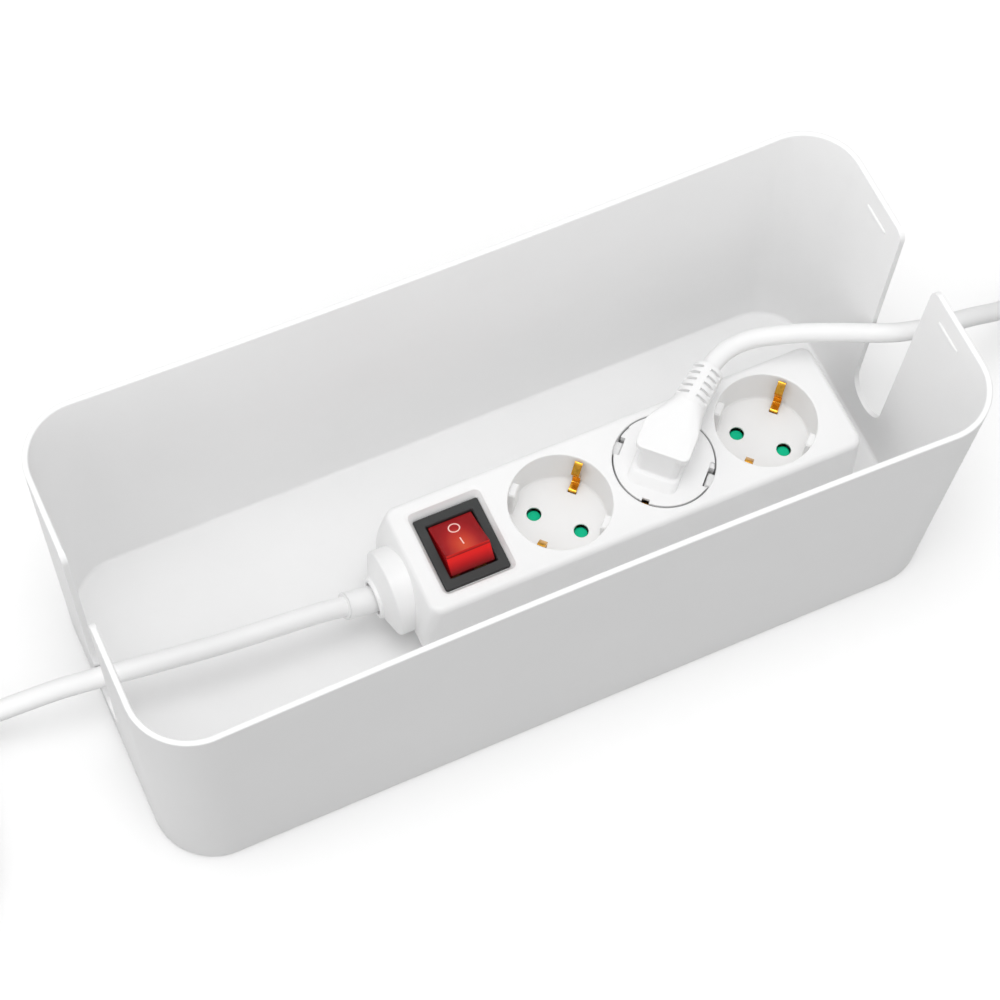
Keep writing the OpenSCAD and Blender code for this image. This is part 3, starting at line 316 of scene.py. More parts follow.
def turned(name, profile, steps=72):
    """A solid turned about Z from (radius, height) points that rise from the axis to the axis."""
    rings = [[(max(r, 1e-4) * math.cos(a), max(r, 1e-4) * math.sin(a), z)
              for a in full_turn(steps)] for r, z in profile]
    return loft(name, rings)


def rod(name, r, z0, z1, steps=72):
    """A round rod about Z from one height to another."""
    return turned(name, [(0, z0), (r, z0), (r, z1), (0, z1)], steps)


def place(thing, matrix):
    """Moves a mesh, given a matrix whose shift is in millimetres."""
    shift = Matrix.Translation(matrix.to_translation() * MM)
    thing.data.transform(shift @ matrix.to_3x3().to_4x4())
    thing.data.update()
    return thing


def turned_about(axis, degrees):
    """A turn about X, Y or Z."""
    return Matrix.Rotation(math.radians(degrees), 4, axis)


def join(name, things):
    """One object from several that don't touch."""
    draft = bmesh.new()
    for thing in things:
        draft.from_mesh(thing.data)
        bpy.data.objects.remove(thing)
    return from_draft(name, draft)


def bake(thing):
    """Replaces a mesh by what its modifiers make of it."""
    graph = bpy.context.evaluated_depsgraph_get()
    graph.update()
    data = bpy.data.meshes.new_from_object(thing.evaluated_get(graph))
    old = thing.data
    thing.modifiers.clear()
    thing.data = data
    bpy.data.meshes.remove(old)
    return thing


def combine(thing, tools, operation="DIFFERENCE"):
    """Cuts tools from a solid, or adds them to it, and removes the tools."""
    for tool in tools:
        step = thing.modifiers.new("cut", "BOOLEAN")
        step.operation = operation
        step.object = tool
        step.solver = "MANIFOLD"
        bake(thing)
        bpy.data.objects.remove(tool)
    return tidy(thing)


def tidy(thing):
    """Merges doubled points and drops faces of no area."""
    draft = bmesh.new()
    draft.from_mesh(thing.data)
    bmesh.ops.remove_doubles(draft, verts=draft.verts, dist=1e-6)
    bmesh.ops.dissolve_degenerate(draft, edges=draft.edges, dist=1e-6)
    draft.to_mesh(thing.data)
    draft.free()
    return thing


def hull(name, points):
    """The tightest convex solid round some points."""
    draft = bmesh.new()
    for p in points:
        draft.verts.new(Vector(p) * MM)
    out = bmesh.ops.convex_hull(draft, input=draft.verts)
    inner = {e for e in out["geom_interior"] + out["geom_unused"]
             if isinstance(e, bmesh.types.BMVert)}
    bmesh.ops.delete(draft, geom=list(inner), context="VERTS")
    return from_draft(name, draft)


def melt(thing, cell, rounds):
    """Runs a solid's parts into one soft skin, as a moulding's fillets do."""
    grid = thing.modifiers.new("grid", "REMESH")
    grid.mode = "VOXEL"
    grid.voxel_size = cell * MM
    bake(thing)
    soft = thing.modifiers.new("soft", "SMOOTH")
    soft.factor = 0.5
    soft.iterations = rounds
    return bake(thing)


def spline(points, pieces):
    """A smooth path through points, with so many pieces between neighbours."""
    pts = [Vector(p) for p in points]
    pts = [2 * pts[0] - pts[1]] + pts + [2 * pts[-1] - pts[-2]]
    path = []
    for i in range(1, len(pts) - 2):
        a, b, c, d = pts[i - 1:i + 3]
        for k in range(pieces):
            t = k / pieces
            path.append(0.5 * (2 * b + (c - a) * t + (2 * a - 5 * b + 4 * c - d) * t * t
                               + (3 * b - a - 3 * c + d) * t ** 3))
    return path + [pts[-2]]


def tube(name, path, radii, sides):
    """A round tube along a path; radii is one radius or one for each point."""
    path = [Vector(p) for p in path]
    n = len(path)
    if not isinstance(radii, list):
        radii = [radii] * n
    ways = [(path[min(i + 1, n - 1)] - path[max(i - 1, 0)]).normalized() for i in range(n)]
    up = Vector((0, 0, 1))
    rings = []
    for p, way, r in zip(path, ways, radii):
        up = (up - up.dot(way) * way).normalized()
        side = up.cross(way)
        rings.append([p + r * (math.cos(a) * side + math.sin(a) * up)
                      for a in full_turn(sides)])
    return loft(name, rings)


def way_frame(a, b):
    """The frame at a whose Z points to b and whose Y stays as high as it can."""
    z = (Vector(b) - Vector(a)).normalized()
    x = Vector((0, 0, 1)).cross(z).normalized() if abs(z.z) < 0.99 else Vector((1, 0, 0))
    y = z.cross(x)
    turn = Matrix((x, y, z)).transposed().to_4x4()
    return Matrix.Translation(Vector(a)) @ turn


def shade(thing, angle, bevel=0.0):
    """Bevels hard edges, smooths the rest and lets large faces keep their own direction."""
    if bevel:
        edge = thing.modifiers.new("edges", "BEVEL")
        edge.width = bevel * MM
        edge.segments = 2
        edge.limit_method = "ANGLE"
        edge.angle_limit = math.radians(40)
        edge.use_clamp_overlap = True
        bake(thing)
    thing.data.shade_smooth()
    thing.data.set_sharp_from_angle(angle=math.radians(angle))
    weigh = thing.modifiers.new("faces", "WEIGHTED_NORMAL")
    weigh.keep_sharp = True
    return thing


def dress(thing, body, slot, *nodes):
    """Gives a piece its finish and its body, and hides the solids that it stands for."""
    thing.data.materials.clear()
    thing.data.materials.append(finish(slot))
    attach(thing, body)
    if nodes:
        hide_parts(*nodes)


# ---------- finishes ----------

def node(tree, kind, **values):
    """A shader node; a value goes to the input of its name, or to the node itself."""
    made = tree.nodes.new(kind)
    for key, value in values.items():
        name = key.replace("_", " ")
        if name in made.inputs:
            made.inputs[name].default_value = value
        else:
            setattr(made, key, value)
    return made


def begin(name):
    """A material with its shader, and the place on the piece as a vector."""
    made = bpy.data.materials.new(name)
    made.use_nodes = True
    tree = made.node_tree
    shader = tree.nodes["Principled BSDF"]
    where = tree.nodes.new("ShaderNodeTexCoord").outputs["Object"]
    return made, tree, shader, where


def wire(tree, *pairs):
    """Joins outputs to inputs, given as pairs."""
    for output, socket in pairs:
        tree.links.new(output, socket)


def mottle(tree, where, scale, detail=3.0):
    """Soft noise over the surface; scale counts its cells in a metre."""
    noise = node(tree, "ShaderNodeTexNoise", Scale=scale, Detail=detail, Roughness=0.55)
    wire(tree, (where, noise.inputs["Vector"]))
    return noise.outputs["Fac"]


def ramp(tree, factor, stops):
    """A colour ramp with its stops as (place, colour)."""
    made = tree.nodes.new("ShaderNodeValToRGB")
    bar = made.color_ramp.elements
    while len(bar) < len(stops):
        bar.new(0.5)
    for spot, (at, tint) in zip(bar, stops):
        spot.position = at
        spot.color = (*tint, 1)
    wire(tree, (factor, made.inputs["Fac"]))
    return made.outputs["Color"]


def scaled(tint, factor):
    """A colour made lighter or darker."""
    return tuple(min(1.0, c * factor) for c in tint)


def relief(tree, where, shader, scale, height, strength):
    """Fine bumps, with their height in millimetres."""
    bump = node(tree, "ShaderNodeBump", Strength=strength, Distance=height * MM)
    wire(tree, (mottle(tree, where, scale, 2.0), bump.inputs["Height"]),
         (bump.outputs["Normal"], shader.inputs["Normal"]))


def shine(tree, where, shader, scale, low, high):
    """Uneven roughness between two values."""
    spread = node(tree, "ShaderNodeMapRange")
    spread.inputs["To Min"].default_value = low
    spread.inputs["To Max"].default_value = high
    wire(tree, (mottle(tree, where, scale), spread.inputs["Value"]),
         (spread.outputs["Result"], shader.inputs["Roughness"]))


def clouded(tree, where, shader, scale, dark, light):
    """A base colour that drifts between two tones."""
    drift = ramp(tree, mottle(tree, where, scale), [(0.3, dark), (0.7, light)])
    wire(tree, (drift, shader.inputs["Base Color"]))


def moulded(name, tint, low, high, tone=0.02, grain=2600.0, height=0.02, gloss=0.4):
    """Moulded plastic or rubber: faint flow marks, a fine spark texture and uneven sheen."""
    made, tree, shader, where = begin(name)
    clouded(tree, where, shader, scale=28.0, dark=scaled(tint, 1 - tone),
            light=scaled(tint, 1 + tone * 0.5))
    shine(tree, where, shader, scale=60.0, low=low, high=high)
    relief(tree, where, shader, scale=grain, height=height, strength=0.35)
    shader.inputs["Specular IOR Level"].default_value = gloss
    return made


def metal(name, tint, low, high, tone=0.12, stretch=(1, 1, 12)):
    """Rolled or drawn metal with fine lines along its length."""
    made, tree, shader, where = begin(name)
    drawn = node(tree, "ShaderNodeMapping", Scale=stretch)
    wire(tree, (where, drawn.inputs["Vector"]))
    lines = drawn.outputs["Vector"]
    clouded(tree, lines, shader, scale=420.0, dark=scaled(tint, 1 - tone),
            light=scaled(tint, 1 + tone))
    shine(tree, lines, shader, scale=500.0, low=low, high=high)
    relief(tree, lines, shader, scale=1500.0, height=0.01, strength=0.3)
    shader.inputs["Metallic"].default_value = 1.0
    return made


def striped(name, tint, other):
    """Insulation of two colours in bands."""
    made, tree, shader, where = begin(name)
    band = node(tree, "ShaderNodeTexWave", Scale=45.0, Distortion=0.4)
    band.bands_direction = "Y"
    bands = ramp(tree, band.outputs["Fac"], [(0.45, tint), (0.55, other)])
    wire(tree, (where, band.inputs["Vector"]), (bands, shader.inputs["Base Color"]))
    shine(tree, where, shader, scale=60.0, low=0.35, high=0.5)
    return made


def between(tree, value, low, high):
    """Turns a value from one limit to another into 0 to 1."""
    spread = node(tree, "ShaderNodeMapRange")
    spread.inputs["From Min"].default_value = low
    spread.inputs["From Max"].default_value = high
    wire(tree, (value, spread.inputs["Value"]))
    return spread.outputs["Result"]


def lit_rocker(name, dark, glow):
    """Clear red plastic over a lamp: bright over the lamp and deep red in the corners; its front
    has painted shade that darkens it towards the bottom, a painted shade line under the ridge and a
    painted highlight on the ridge.
    """
    made, tree, shader, where = begin(name)
    s = in_mm(bpy.context.scene.cable_box_strip)
    w = in_mm(bpy.context.scene.cable_box_switch)
    lamp = Vector((w.place - s.left - 0.5, -s.front - 3.4, 46.4)) * MM
    reach = (120.0, 66.0, 66.0)  # how fast the glow fades along each axis, per metre
    # the heights between which the front's painted shade runs, from dark at the bottom to bright at
    # the top
    front_shade_low, front_shade_high = 41.6 * MM, 47.6 * MM
    away = node(tree, "ShaderNodeVectorMath", operation="SUBTRACT")
    away.inputs[1].default_value = lamp
    squash = node(tree, "ShaderNodeVectorMath", operation="MULTIPLY")
    squash.inputs[1].default_value = reach
    far = node(tree, "ShaderNodeVectorMath", operation="LENGTH")
    wire(tree, (where, away.inputs[0]), (away.outputs[0], squash.inputs[0]),
         (squash.outputs[0], far.inputs[0]))
    top = ramp(tree, far.outputs["Value"], [
        (0.05, glow), (0.4, linear("b83222")), (0.75, linear("9a1216")), (1.0, dark)])
    spot = node(tree, "ShaderNodeSeparateXYZ")
    wire(tree, (where, spot.inputs[0]))
    # the front's colours are painted shade, dark at the bottom and in a thin line under the ridge,
    # with a painted highlight along the ridge itself
    front = ramp(tree, between(tree, spot.outputs["Z"], front_shade_low, front_shade_high), [
        (0.0, linear("5c070b")), (0.35, linear("a81016")), (0.7, linear("d41b1c")),
        (0.9, linear("dc201c")), (0.95, linear("7c0b10")), (1.0, linear("c0201a"))])
    facing = node(tree, "ShaderNodeSeparateXYZ")
    wire(tree, (tree.nodes["Texture Coordinate"].outputs["Normal"], facing.inputs[0]))
    both = node(tree, "ShaderNodeMix", data_type="RGBA")
    wire(tree, (between(tree, facing.outputs["Y"], low=0.1, high=-0.3), both.inputs["Factor"]),
         (top, both.inputs["A"]), (front, both.inputs["B"]),
         (both.outputs["Result"], shader.inputs["Base Color"]),
         (both.outputs["Result"], shader.inputs["Emission Color"]))
    shader.inputs["Emission Strength"].default_value = 0.18
    shader.inputs["Specular IOR Level"].default_value = 0.22
    shine(tree, where, shader, scale=150.0, low=0.16, high=0.3)
    relief(tree, where, shader, scale=400.0, height=0.02, strength=0.15)
    return made


# each slot's maker, its colours (a name in the panel or a hex code) and the maker's values
MAKERS = {
    "white_box": (moulded, ["box"], dict(low=0.42, high=0.52, tone=0.012, grain=1900.0,
                                         height=0.03)),
    "white_shell": (moulded, ["shell"], dict(low=0.3, high=0.4, tone=0.012, grain=3200.0,
                                             height=0.01)),
    "white_rubber": (moulded, ["rubber"], dict(low=0.38, high=0.5, grain=2200.0)),
    "steel": (metal, ["b9bcc0"], dict(low=0.25, high=0.4)),
    "nickel": (metal, ["d3d0c8"], dict(low=0.16, high=0.28)),
    "brass": (metal, ["c8a24a"], dict(low=0.25, high=0.4)),
    "gold_clip": (metal, ["clip"], dict(low=0.12, high=0.26, tone=0.3, stretch=(1, 1, 0.6))),
    "green_shutter": (moulded, ["shutter"], dict(low=0.4, high=0.5, tone=0.05, grain=1500.0,
                                                 gloss=0.12)),
    "dark_frame": (moulded, ["frame"], dict(low=0.45, high=0.6, tone=0.06, grain=2400.0,
                                            height=0.03, gloss=0.15)),
    "red_rocker": (lit_rocker, ["rocker", "glow"], {}),
    "lamp_glass": (moulded, ["ff9a50"], dict(low=0.05, high=0.1, tone=0.1, grain=400.0,
                                             height=0.01)),
    "brown_wire": (moulded, ["6e4023"], dict(low=0.35, high=0.5, tone=0.06)),
    "blue_wire": (moulded, ["2f5fae"], dict(low=0.35, high=0.5, tone=0.06)),
    "green_wire": (striped, ["3f9a3a", "e3cf3c"], {}),
    "black_tie": (moulded, ["202022"], dict(low=0.4, high=0.55, tone=0.1)),
}
FINISHES = {}


def finish(slot):
    """The material of a slot, made once."""
    if slot not in FINISHES:
        colours = bpy.context.scene.cable_box_colours
        maker, tints, values = MAKERS[slot]
        tints = [tuple(getattr(colours, t)) if hasattr(colours, t) else linear(t) for t in tints]
        FINISHES[slot] = maker(slot, *tints, **values)
    return FINISHES[slot]


# ---------- the tub ----------

def tub_ring(t, inset, z):
    """The tub's outline at a height, drawn in by an inset."""
    lean = t.draft * (1 - z / t.height)
    half_l, half_w = t.length / 2 - inset - lean, t.width / 2 - inset - lean
    r = t.corner - inset
    hx, hy = half_l - r, half_w - r
    bow = t.bow * (1 - lean / t.draft * 0.9)  # the long walls are nearly straight at the floor
    corner_steps, wall_steps = 24, 32
    side = [(hx * s, half_w - bow * (1 - s * s))
            for s in (1 - 2 * i / wall_steps for i in range(1, wall_steps))]
    points = (arc(hx, hy, r, 0, 90, corner_steps) + side
              + arc(-hx, hy, r, 90, 180, corner_steps)
              + arc(-hx, -hy, r, 180, 270, corner_steps) + [(-x, -y) for x, y in side]
              + arc(hx, -hy, r, 270, 360, corner_steps))
    return lift(points, z)


class CABLEBOX_OT_tub(bpy.types.Operator):
    """Builds the open tub with its two lead slots and the snap beads under its rim"""
    bl_idname = "cablebox.tub"
    bl_label = "Tub"

    def execute(self, context):
        t = in_mm(context.scene.cable_box_tub)
        tub = self.walls(t)
        combine(tub, self.beads(t), "UNION")
        combine(tub, self.slots(t))
        dress(shade(tub, 30, 0.35), "box", "white_box", "box_tub")
        return {"FINISHED"}

    def walls(self, t):
        """The tub without its slots, from the outside of the floor over the rim to the inside."""
        foot, rim = t.foot, t.rim
        low, high = t.floor + foot, t.height - rim
        levels = [(foot * (1 - math.sin(a)), foot * (1 - math.cos(a))) for a in quarter(6)]
        levels += [(0, foot + (t.height - rim - foot) * i / 10) for i in range(1, 10)]
        levels += [(rim * (1 - math.cos(a)), t.height - rim * (1 - math.sin(a)))
                   for a in quarter(5)]
        levels += [(t.wall - rim * (1 - math.cos(a)), t.height - rim * (1 - math.sin(a)))
                   for a in reversed(quarter(5))]
        levels += [(t.wall, high + (low - high) * i / 10) for i in range(1, 10)]
        levels += [(t.wall + foot * (1 - math.cos(a)), t.floor + foot * (1 - math.sin(a)))
                   for a in quarter(6)]
        return loft("tub", [tub_ring(t, inset, z) for inset, z in levels])

    def beads(self, t):
        """Two snap beads inside each end wall: round bars, sunk in it and thinner at their ends."""
        r, thin = 1.2, 0.82
        z = t.height - t.bead_drop
        lean = t.draft * (1 - z / t.height)
        x = t.length / 2 - lean - t.wall + r - t.bead
        swell = [r * (thin + (1 - thin) * (1 - abs(i / 6 - 1) ** 4)) for i in range(13)]
        beads = []
        for side in (-1, 1):
            for y in (-t.bead_y, t.bead_y):
                run = [(side * x, y + t.bead_l * (i / 12 - 0.5), z) for i in range(13)]
                beads.append(tube("bead", run, swell, 16))
        return beads

    def slots(self, t):
        """The cutters of the two lead slots, round at the bottom and flared at the rim."""
        top, lip = t.slot + t.slot_flare, t.slot_lip
        over, past, within = t.height + 5, t.length / 2 + 5, t.length / 2 - 12
        outline = ([(top + lip, over), (-top - lip, over)]
                   + arc(-top - lip, t.height - lip, lip, 90, 0, 10)
                   + arc(0, t.slot_z, t.slot, 180, 360, 36)
                   + arc(top + lip, t.height - lip, lip, 180, 90, 10))
        return [loft("slot", [[(side * x, y, z) for y, z in outline][::side]
                              for x in (within, past)]) for side in (1, -1)]


# ---------- the strip ----------

def strip_level(s, z, inset=0.0):
    """The strip's outline at a height, drawn in all round by an inset; its left end swells."""
    z0, z1 = STRIP_Z, STRIP_Z + s.height
    edge = s.edge
    # the swollen end is an arc of a big circle, seen from the side, and the top edge rolls off it
    big = (s.height ** 2 / 4 + s.bulge ** 2) / (2 * s.bulge)
    cx, cz = -s.left - s.bulge + big, (z0 + z1) / 2
    rise = math.asin((z1 - edge - cz) / (big - edge))
    up = min(max((z - (z1 - edge)) / edge, 0.0), 1.0)
    tuck = edge * (1 - math.sqrt(1 - up * up))
    if z > z1 - edge + edge * math.sin(rise):
        left = cx - (big - edge) * math.cos(rise) - edge * math.sqrt(max(0.0, 1 - up * up))
    else:
        left = cx - math.sqrt(big ** 2 - (z - cz) ** 2)
    widen = s.draft * min(1.0, (z1 - edge - z) / (z1 - edge - z0)) if z < z1 - edge else 0.0
    half = s.width / 2 + widen - tuck - inset
    right = s.length - s.left + widen - tuck - inset
    r = max(s.corner - tuck - inset, 1.0)
    return lift(rounded(left + inset, right, -s.front - half, -s.front + half, r, 12), z)


def strip_core(s, name, low, high, inset=0.0):
    """The strip's block between two heights, drawn in by an inset."""
    shoulder = STRIP_Z + s.height - inset - s.edge
    levels = [low + (min(high, shoulder) - low) * i / 14 for i in range(15)]
    if high > shoulder:
        levels += [shoulder + s.edge * math.sin(a) for a in quarter(10)[1:]]
    return loft(name, [strip_level(s, z, inset) for z in levels])


def switch_middle(s, w):
    """The middle of the switch in plan."""
    return w.place - s.left, -s.front + SWITCH_Y


def socket_frame(s, i):
    """The frame of a socket, with its pins along X."""
    x = s.first - s.left + i * s.pitch
    return Matrix.Translation((x, -s.front, 0)) @ turned_about("Z", SOCKET_TURN)


class CABLEBOX_OT_housing(bpy.types.Operator):
    """Builds the upper housing with its three wells, the switch recess and the gland hole"""
    bl_idname = "cablebox.housing"
    bl_label = "Housing"

    def execute(self, context):
        s = in_mm(context.scene.cable_box_strip)
        w = in_mm(context.scene.cable_box_switch)
        part, z1 = STRIP_Z + s.part, STRIP_Z + s.height
        well_z = z1 - s.depth
        housing = strip_core(s, "housing", part, z1)
        room = strip_core(s, "room", part - 1, z1 - s.shell, s.shell)
        combine(room, self.kept(s, w, well_z, z1))
        combine(housing, [room])
        tools = []
        for i in range(3):
            f = socket_frame(s, i)
            tools.append(place(self.well(s, well_z, z1), f))
            tools += self.openings(s, f, well_z)
        tools += self.recess(s, w, z1)
        gland = Matrix.Translation((-s.left - s.bulge, -s.front + SWITCH_Y, GLAND_Z))
        tools.append(place(rod("gland_hole", 8, -2, 12), gland @ turned_about("Y", 90)))
        combine(housing, tools)
        dress(shade(housing, 32), "strip", "white_shell", "upper_housing")
        return {"FINISHED"}

    def kept(self, s, w, well_z, z1):
        """What the room inside leaves solid: the cups round the wells and the switch's tray."""
        cup_wall, tray_wall, floor, past = 2.6, 2.2, 2, 30
        kept = [place(rod("cup", s.well + cup_wall, well_z - floor, z1 + 2), socket_frame(s, i))
                for i in range(3)]
        kept.append(block_at("tray", switch_middle(s, w)[0], -s.front, s.recess_l / 2 + tray_wall,
                             past, z1 - s.recess - floor, z1 + 2))
        return kept

    def well(self, s, low, z1):
        """A well's cutter, with a guide rib left standing on each side."""
        r = s.well + s.flare + s.mouth
        mouth = arc(r, z1 - s.mouth, s.mouth, 180, 90, 8)
        well = turned("well", [(0, low), (s.well - 0.5, low), (s.well, low + 0.5)] + mouth
                      + [(r, z1 + 2), (0, z1 + 2)], 128)
        top, half = z1 - s.rib_drop, s.rib_w / 2
        ribs = []
        for side in (-1, 1):
            x0, x1 = on_side(side, s.well - s.rib_h, s.well + 3)
            rib = rounded(x0, x1, -half, half, 0.5, 5)
            slim = rounded(x0 + 0.5, x1 - 0.5, 0.5 - half, half - 0.5, 0.3, 5)
            ribs.append(loft("rib", [lift(rib, low - 1), lift(rib, top - 0.6), lift(slim, top)]))
        return combine(well, ribs)

    def openings(self, s, f, well_z):
        """The cutters through a well's floor: two pin holes, wide below, and the clips' slits."""
        under, r, edge, wide = well_z - 3, s.hole / 2, 0.12, 4.1
        hole = [(0, under), (wide, under), (wide, well_z - 0.9), (r, well_z - 0.8),
                (r, well_z - edge), (r + edge, well_z), (r + edge, well_z + 1), (0, well_z + 1)]
        slit_x, slit_y = 1.8, 0.65
        tools = []
        for side in (-1, 1):
            at = f @ Matrix.Translation((side * s.pins / 2, 0, 0))
            tools.append(place(turned("pin_hole", hole, 48), at))
            tools.append(place(block_at("slit", side * CLIP_ASIDE, side * CLIP_OUT, slit_x,
                                        slit_y, under, well_z + 0.5, 0.2), f))
        return tools

    def recess(self, s, w, z1):
        """The cutters of the switch's sunk field, with soft edges, and of the hole in it."""
        x, y = switch_middle(s, w)
        low = z1 - s.recess
        half_l, half_w = s.recess_l / 2, s.recess_w / 2
        slope = [(3.6, low), (3.0, low + 0.05), (0.9, z1 - 0.42), (0.5, z1 - 0.3),
                 (0.1, z1 - 0.13), (-0.3, z1 - 0.03), (-0.7, z1), (-0.7, z1 + 1)]
        field = loft("recess", [lift(centred(x, y, half_l - d, half_w - d, 3.0 - d * 0.6), z)
                                for d, z in slope])
        room = 1.6
        return [field, block_at("switch_hole", x, y, w.window_l / 2 + room,
                                w.window_w / 2 + room, low - 4, low + 1)]


class CABLEBOX_OT_clips(bpy.types.Operator):
    """Builds the earth rail with its sprung clips in the wells"""
    bl_idname = "cablebox.clips"
    bl_label = "Earth clips"

    def execute(self, context):
        s = in_mm(context.scene.cable_box_strip)
        z1 = STRIP_Z + s.height
        well_z = z1 - s.depth
        low, sheet, bar_half, tie_half, tie_reach = 18.6, 1.2, 2, 2.5, 14.6
        first = s.first - s.left
        reach = s.pitch / 2 + 1.2
        parts = [block("bar", first - reach, first + 2 * s.pitch + reach, -s.front - bar_half,
                       -s.front + bar_half, low, low + sheet, 0.2)]
        # a leg's line from the rail through its slit to the wall, then the arm up to the mouth
        foot = [(CLIP_OUT, low + 0.4), (CLIP_OUT, well_z - 0.5), (CLIP_OUT + 0.1, well_z + 0.35),
                (14.8, well_z + 0.65), (17.6, well_z + 0.65), (18.35, well_z + 0.95),
                (18.55, well_z + 1.6)]
        pressed = [(18.5, well_z + 4.0), (18.3, well_z + 4.7), (17.5, well_z + 7.7),
                   (17.35, well_z + 8.4), (17.5, well_z + 9.1), (18.2, z1 - 3.9), (18.6, z1 - 2.6),
                   (18.9, z1 - 2.3)]
        sprung = [(18.5, well_z + 4.2), (18.2, well_z + 5.8), (15.7, well_z + 11.2),
                  (15.3, well_z + 12.0), (15.6, well_z + 12.8), (18.1, z1 - 2.2), (18.6, z1 - 1.9),
                  (18.95, z1 - 1.9)]
        for i, arm in enumerate((sprung, pressed, sprung)):
            f = socket_frame(s, i)
            parts.append(place(block_at("tie_bar", 0, 0, tie_half, tie_reach, low, low + sheet,
                                        0.2), f))
            parts += [place(self.leg(foot + arm, side), f) for side in (-1, 1)]
        rail = join("clip_rail", parts)
        dress(shade(rail, 30, 0.12), "strip", "gold_clip", "earth_rail")
        return {"FINISHED"}

    def leg(self, line, side):
        """A flat strip along a line of (distance out, height) points, on one side of a socket."""
        half_w, half_t = 1.6, 0.45
        rings = []
        last = len(line) - 1
        for i, (r, z) in enumerate(line):
            (r0, z0), (r1, z1) = line[max(i - 1, 0)], line[min(i + 1, last)]
            run = math.hypot(r1 - r0, z1 - z0)
            out, up = -(z1 - z0) / run * half_t, (r1 - r0) / run * half_t
            ring = [(-half_w, r + out, z + up), (half_w, r + out, z + up),
                    (half_w, r - out, z - up), (-half_w, r - out, z - up)]
            rings.append([((x + CLIP_ASIDE) * side, y * side, h) for x, y, h in ring])
        return loft("leg", rings)


class CABLEBOX_OT_shutters(bpy.types.Operator):
    """Builds the shutters: a pad under each pin hole on a thin bar that turns on a boss"""
    bl_idname = "cablebox.shutters"
    bl_label = "Shutters"

    def execute(self, context):
        s = in_mm(context.scene.cable_box_strip)
        bar_l, bar_w, hub_r, pad_r, bore_r = 10.4, 2.2, 4.6, 2.75, 2.6
        for i, body in enumerate(("shutter_left", "strip", "shutter_right")):
            plain = f"socket_shutter_{i + 1}"
            low, high = (v.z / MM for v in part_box(plain))
            turn = turned_about("Z", OPEN_TURN) if body == "strip" else Matrix()
            bar = block_at("bar", 0, 0, bar_l, bar_w, low, high - 1.1, 1.5)
            hub = rod("hub", hub_r, low, high - 0.7, 48)
            pad = [(0, low), (pad_r, low), (pad_r, high - 0.4), (pad_r - 0.4, high), (0, high)]
            pads = [place(turned("pad", pad, 40), Matrix.Translation((x, 0, 0)))
                    for x in (-s.pins / 2, s.pins / 2)]
            combine(bar, [hub] + pads, "UNION")
            combine(bar, [rod("bore", bore_r, low - 1, high + 1, 40)])
            place(bar, socket_frame(s, i) @ turn)
            bar.name = f"shutter_{i + 1}"
            dress(shade(bar, 30), body, "green_shutter", plain)
        return {"FINISHED"}


class CABLEBOX_OT_gland(bpy.types.Operator):
    """Builds the gland on the strip's end and the sleeve that leaves it"""
    bl_idname = "cablebox.gland"
    bl_label = "Gland and sleeve"

    def execute(self, context):
        s = in_mm(context.scene.cable_box_strip)
        c = in_mm(context.scene.cable_box_leads)
        x, y, z = -s.left - s.bulge, -s.front + SWITCH_Y, GLAND_Z
        neck, r = c.neck, c.sleeve / 2
        bore, inside, flange, mouth = 6.3, -3.6, 4.7, 10.2
        # (radius, height) from inside the strip over the flange and the neck to its mouth, and
        # back through the bore; heights run towards the lead
        profile = [(r + 0.05, inside), (7.8, inside), (7.8, -0.6), (c.gland, -4.0),
                   (c.gland, flange), (c.gland - 0.2, 5.15), (c.gland - 0.6, 5.45),
                   (neck + 0.3, 8.55), (neck, 8.8), (neck, 9.8), (neck - 0.2, 10.1),
                   (neck - 0.6, mouth), (bore + 0.3, mouth), (bore, 9.9), (bore, 5.5),
                   (r + 0.05, 4.5)]
        sections = [[(d * math.cos(a), d * math.sin(a), h) for d, h in profile]
                    for a in full_turn(112)]
        gland = place(hoop("gland", sections, True),
                      Matrix.Translation((x, y, z)) @ turned_about("Y", -90))
        combine(gland, [strip_core(s, "strip", 3.0, STRIP_Z + s.height)])
        dress(shade(gland, 30), "strip", "white_shell", "gland_cap")
        path = spline([(-46, y, z), (-50, y, z), (-54.5, y, z), (-57, y, z + 0.5),
                       (-60, y, z + 1.3), (-64, y, z + 2.6), (-65.7, y, z + 3.15)], 5)
        way = (path[-1] - path[-2]).normalized()
        radii = [r] * len(path) + [r - 0.15, r - 0.5]
        path = path[:-1] + [path[-1] - 0.5 * way, path[-1] - 0.15 * way, path[-1]]
        sleeve = tube("sleeve", path, radii, 40)
        dress(shade(sleeve, 50), "strip", "white_rubber", "cord_sleeve")
        return {"FINISHED"}


# ---------- the switch ----------

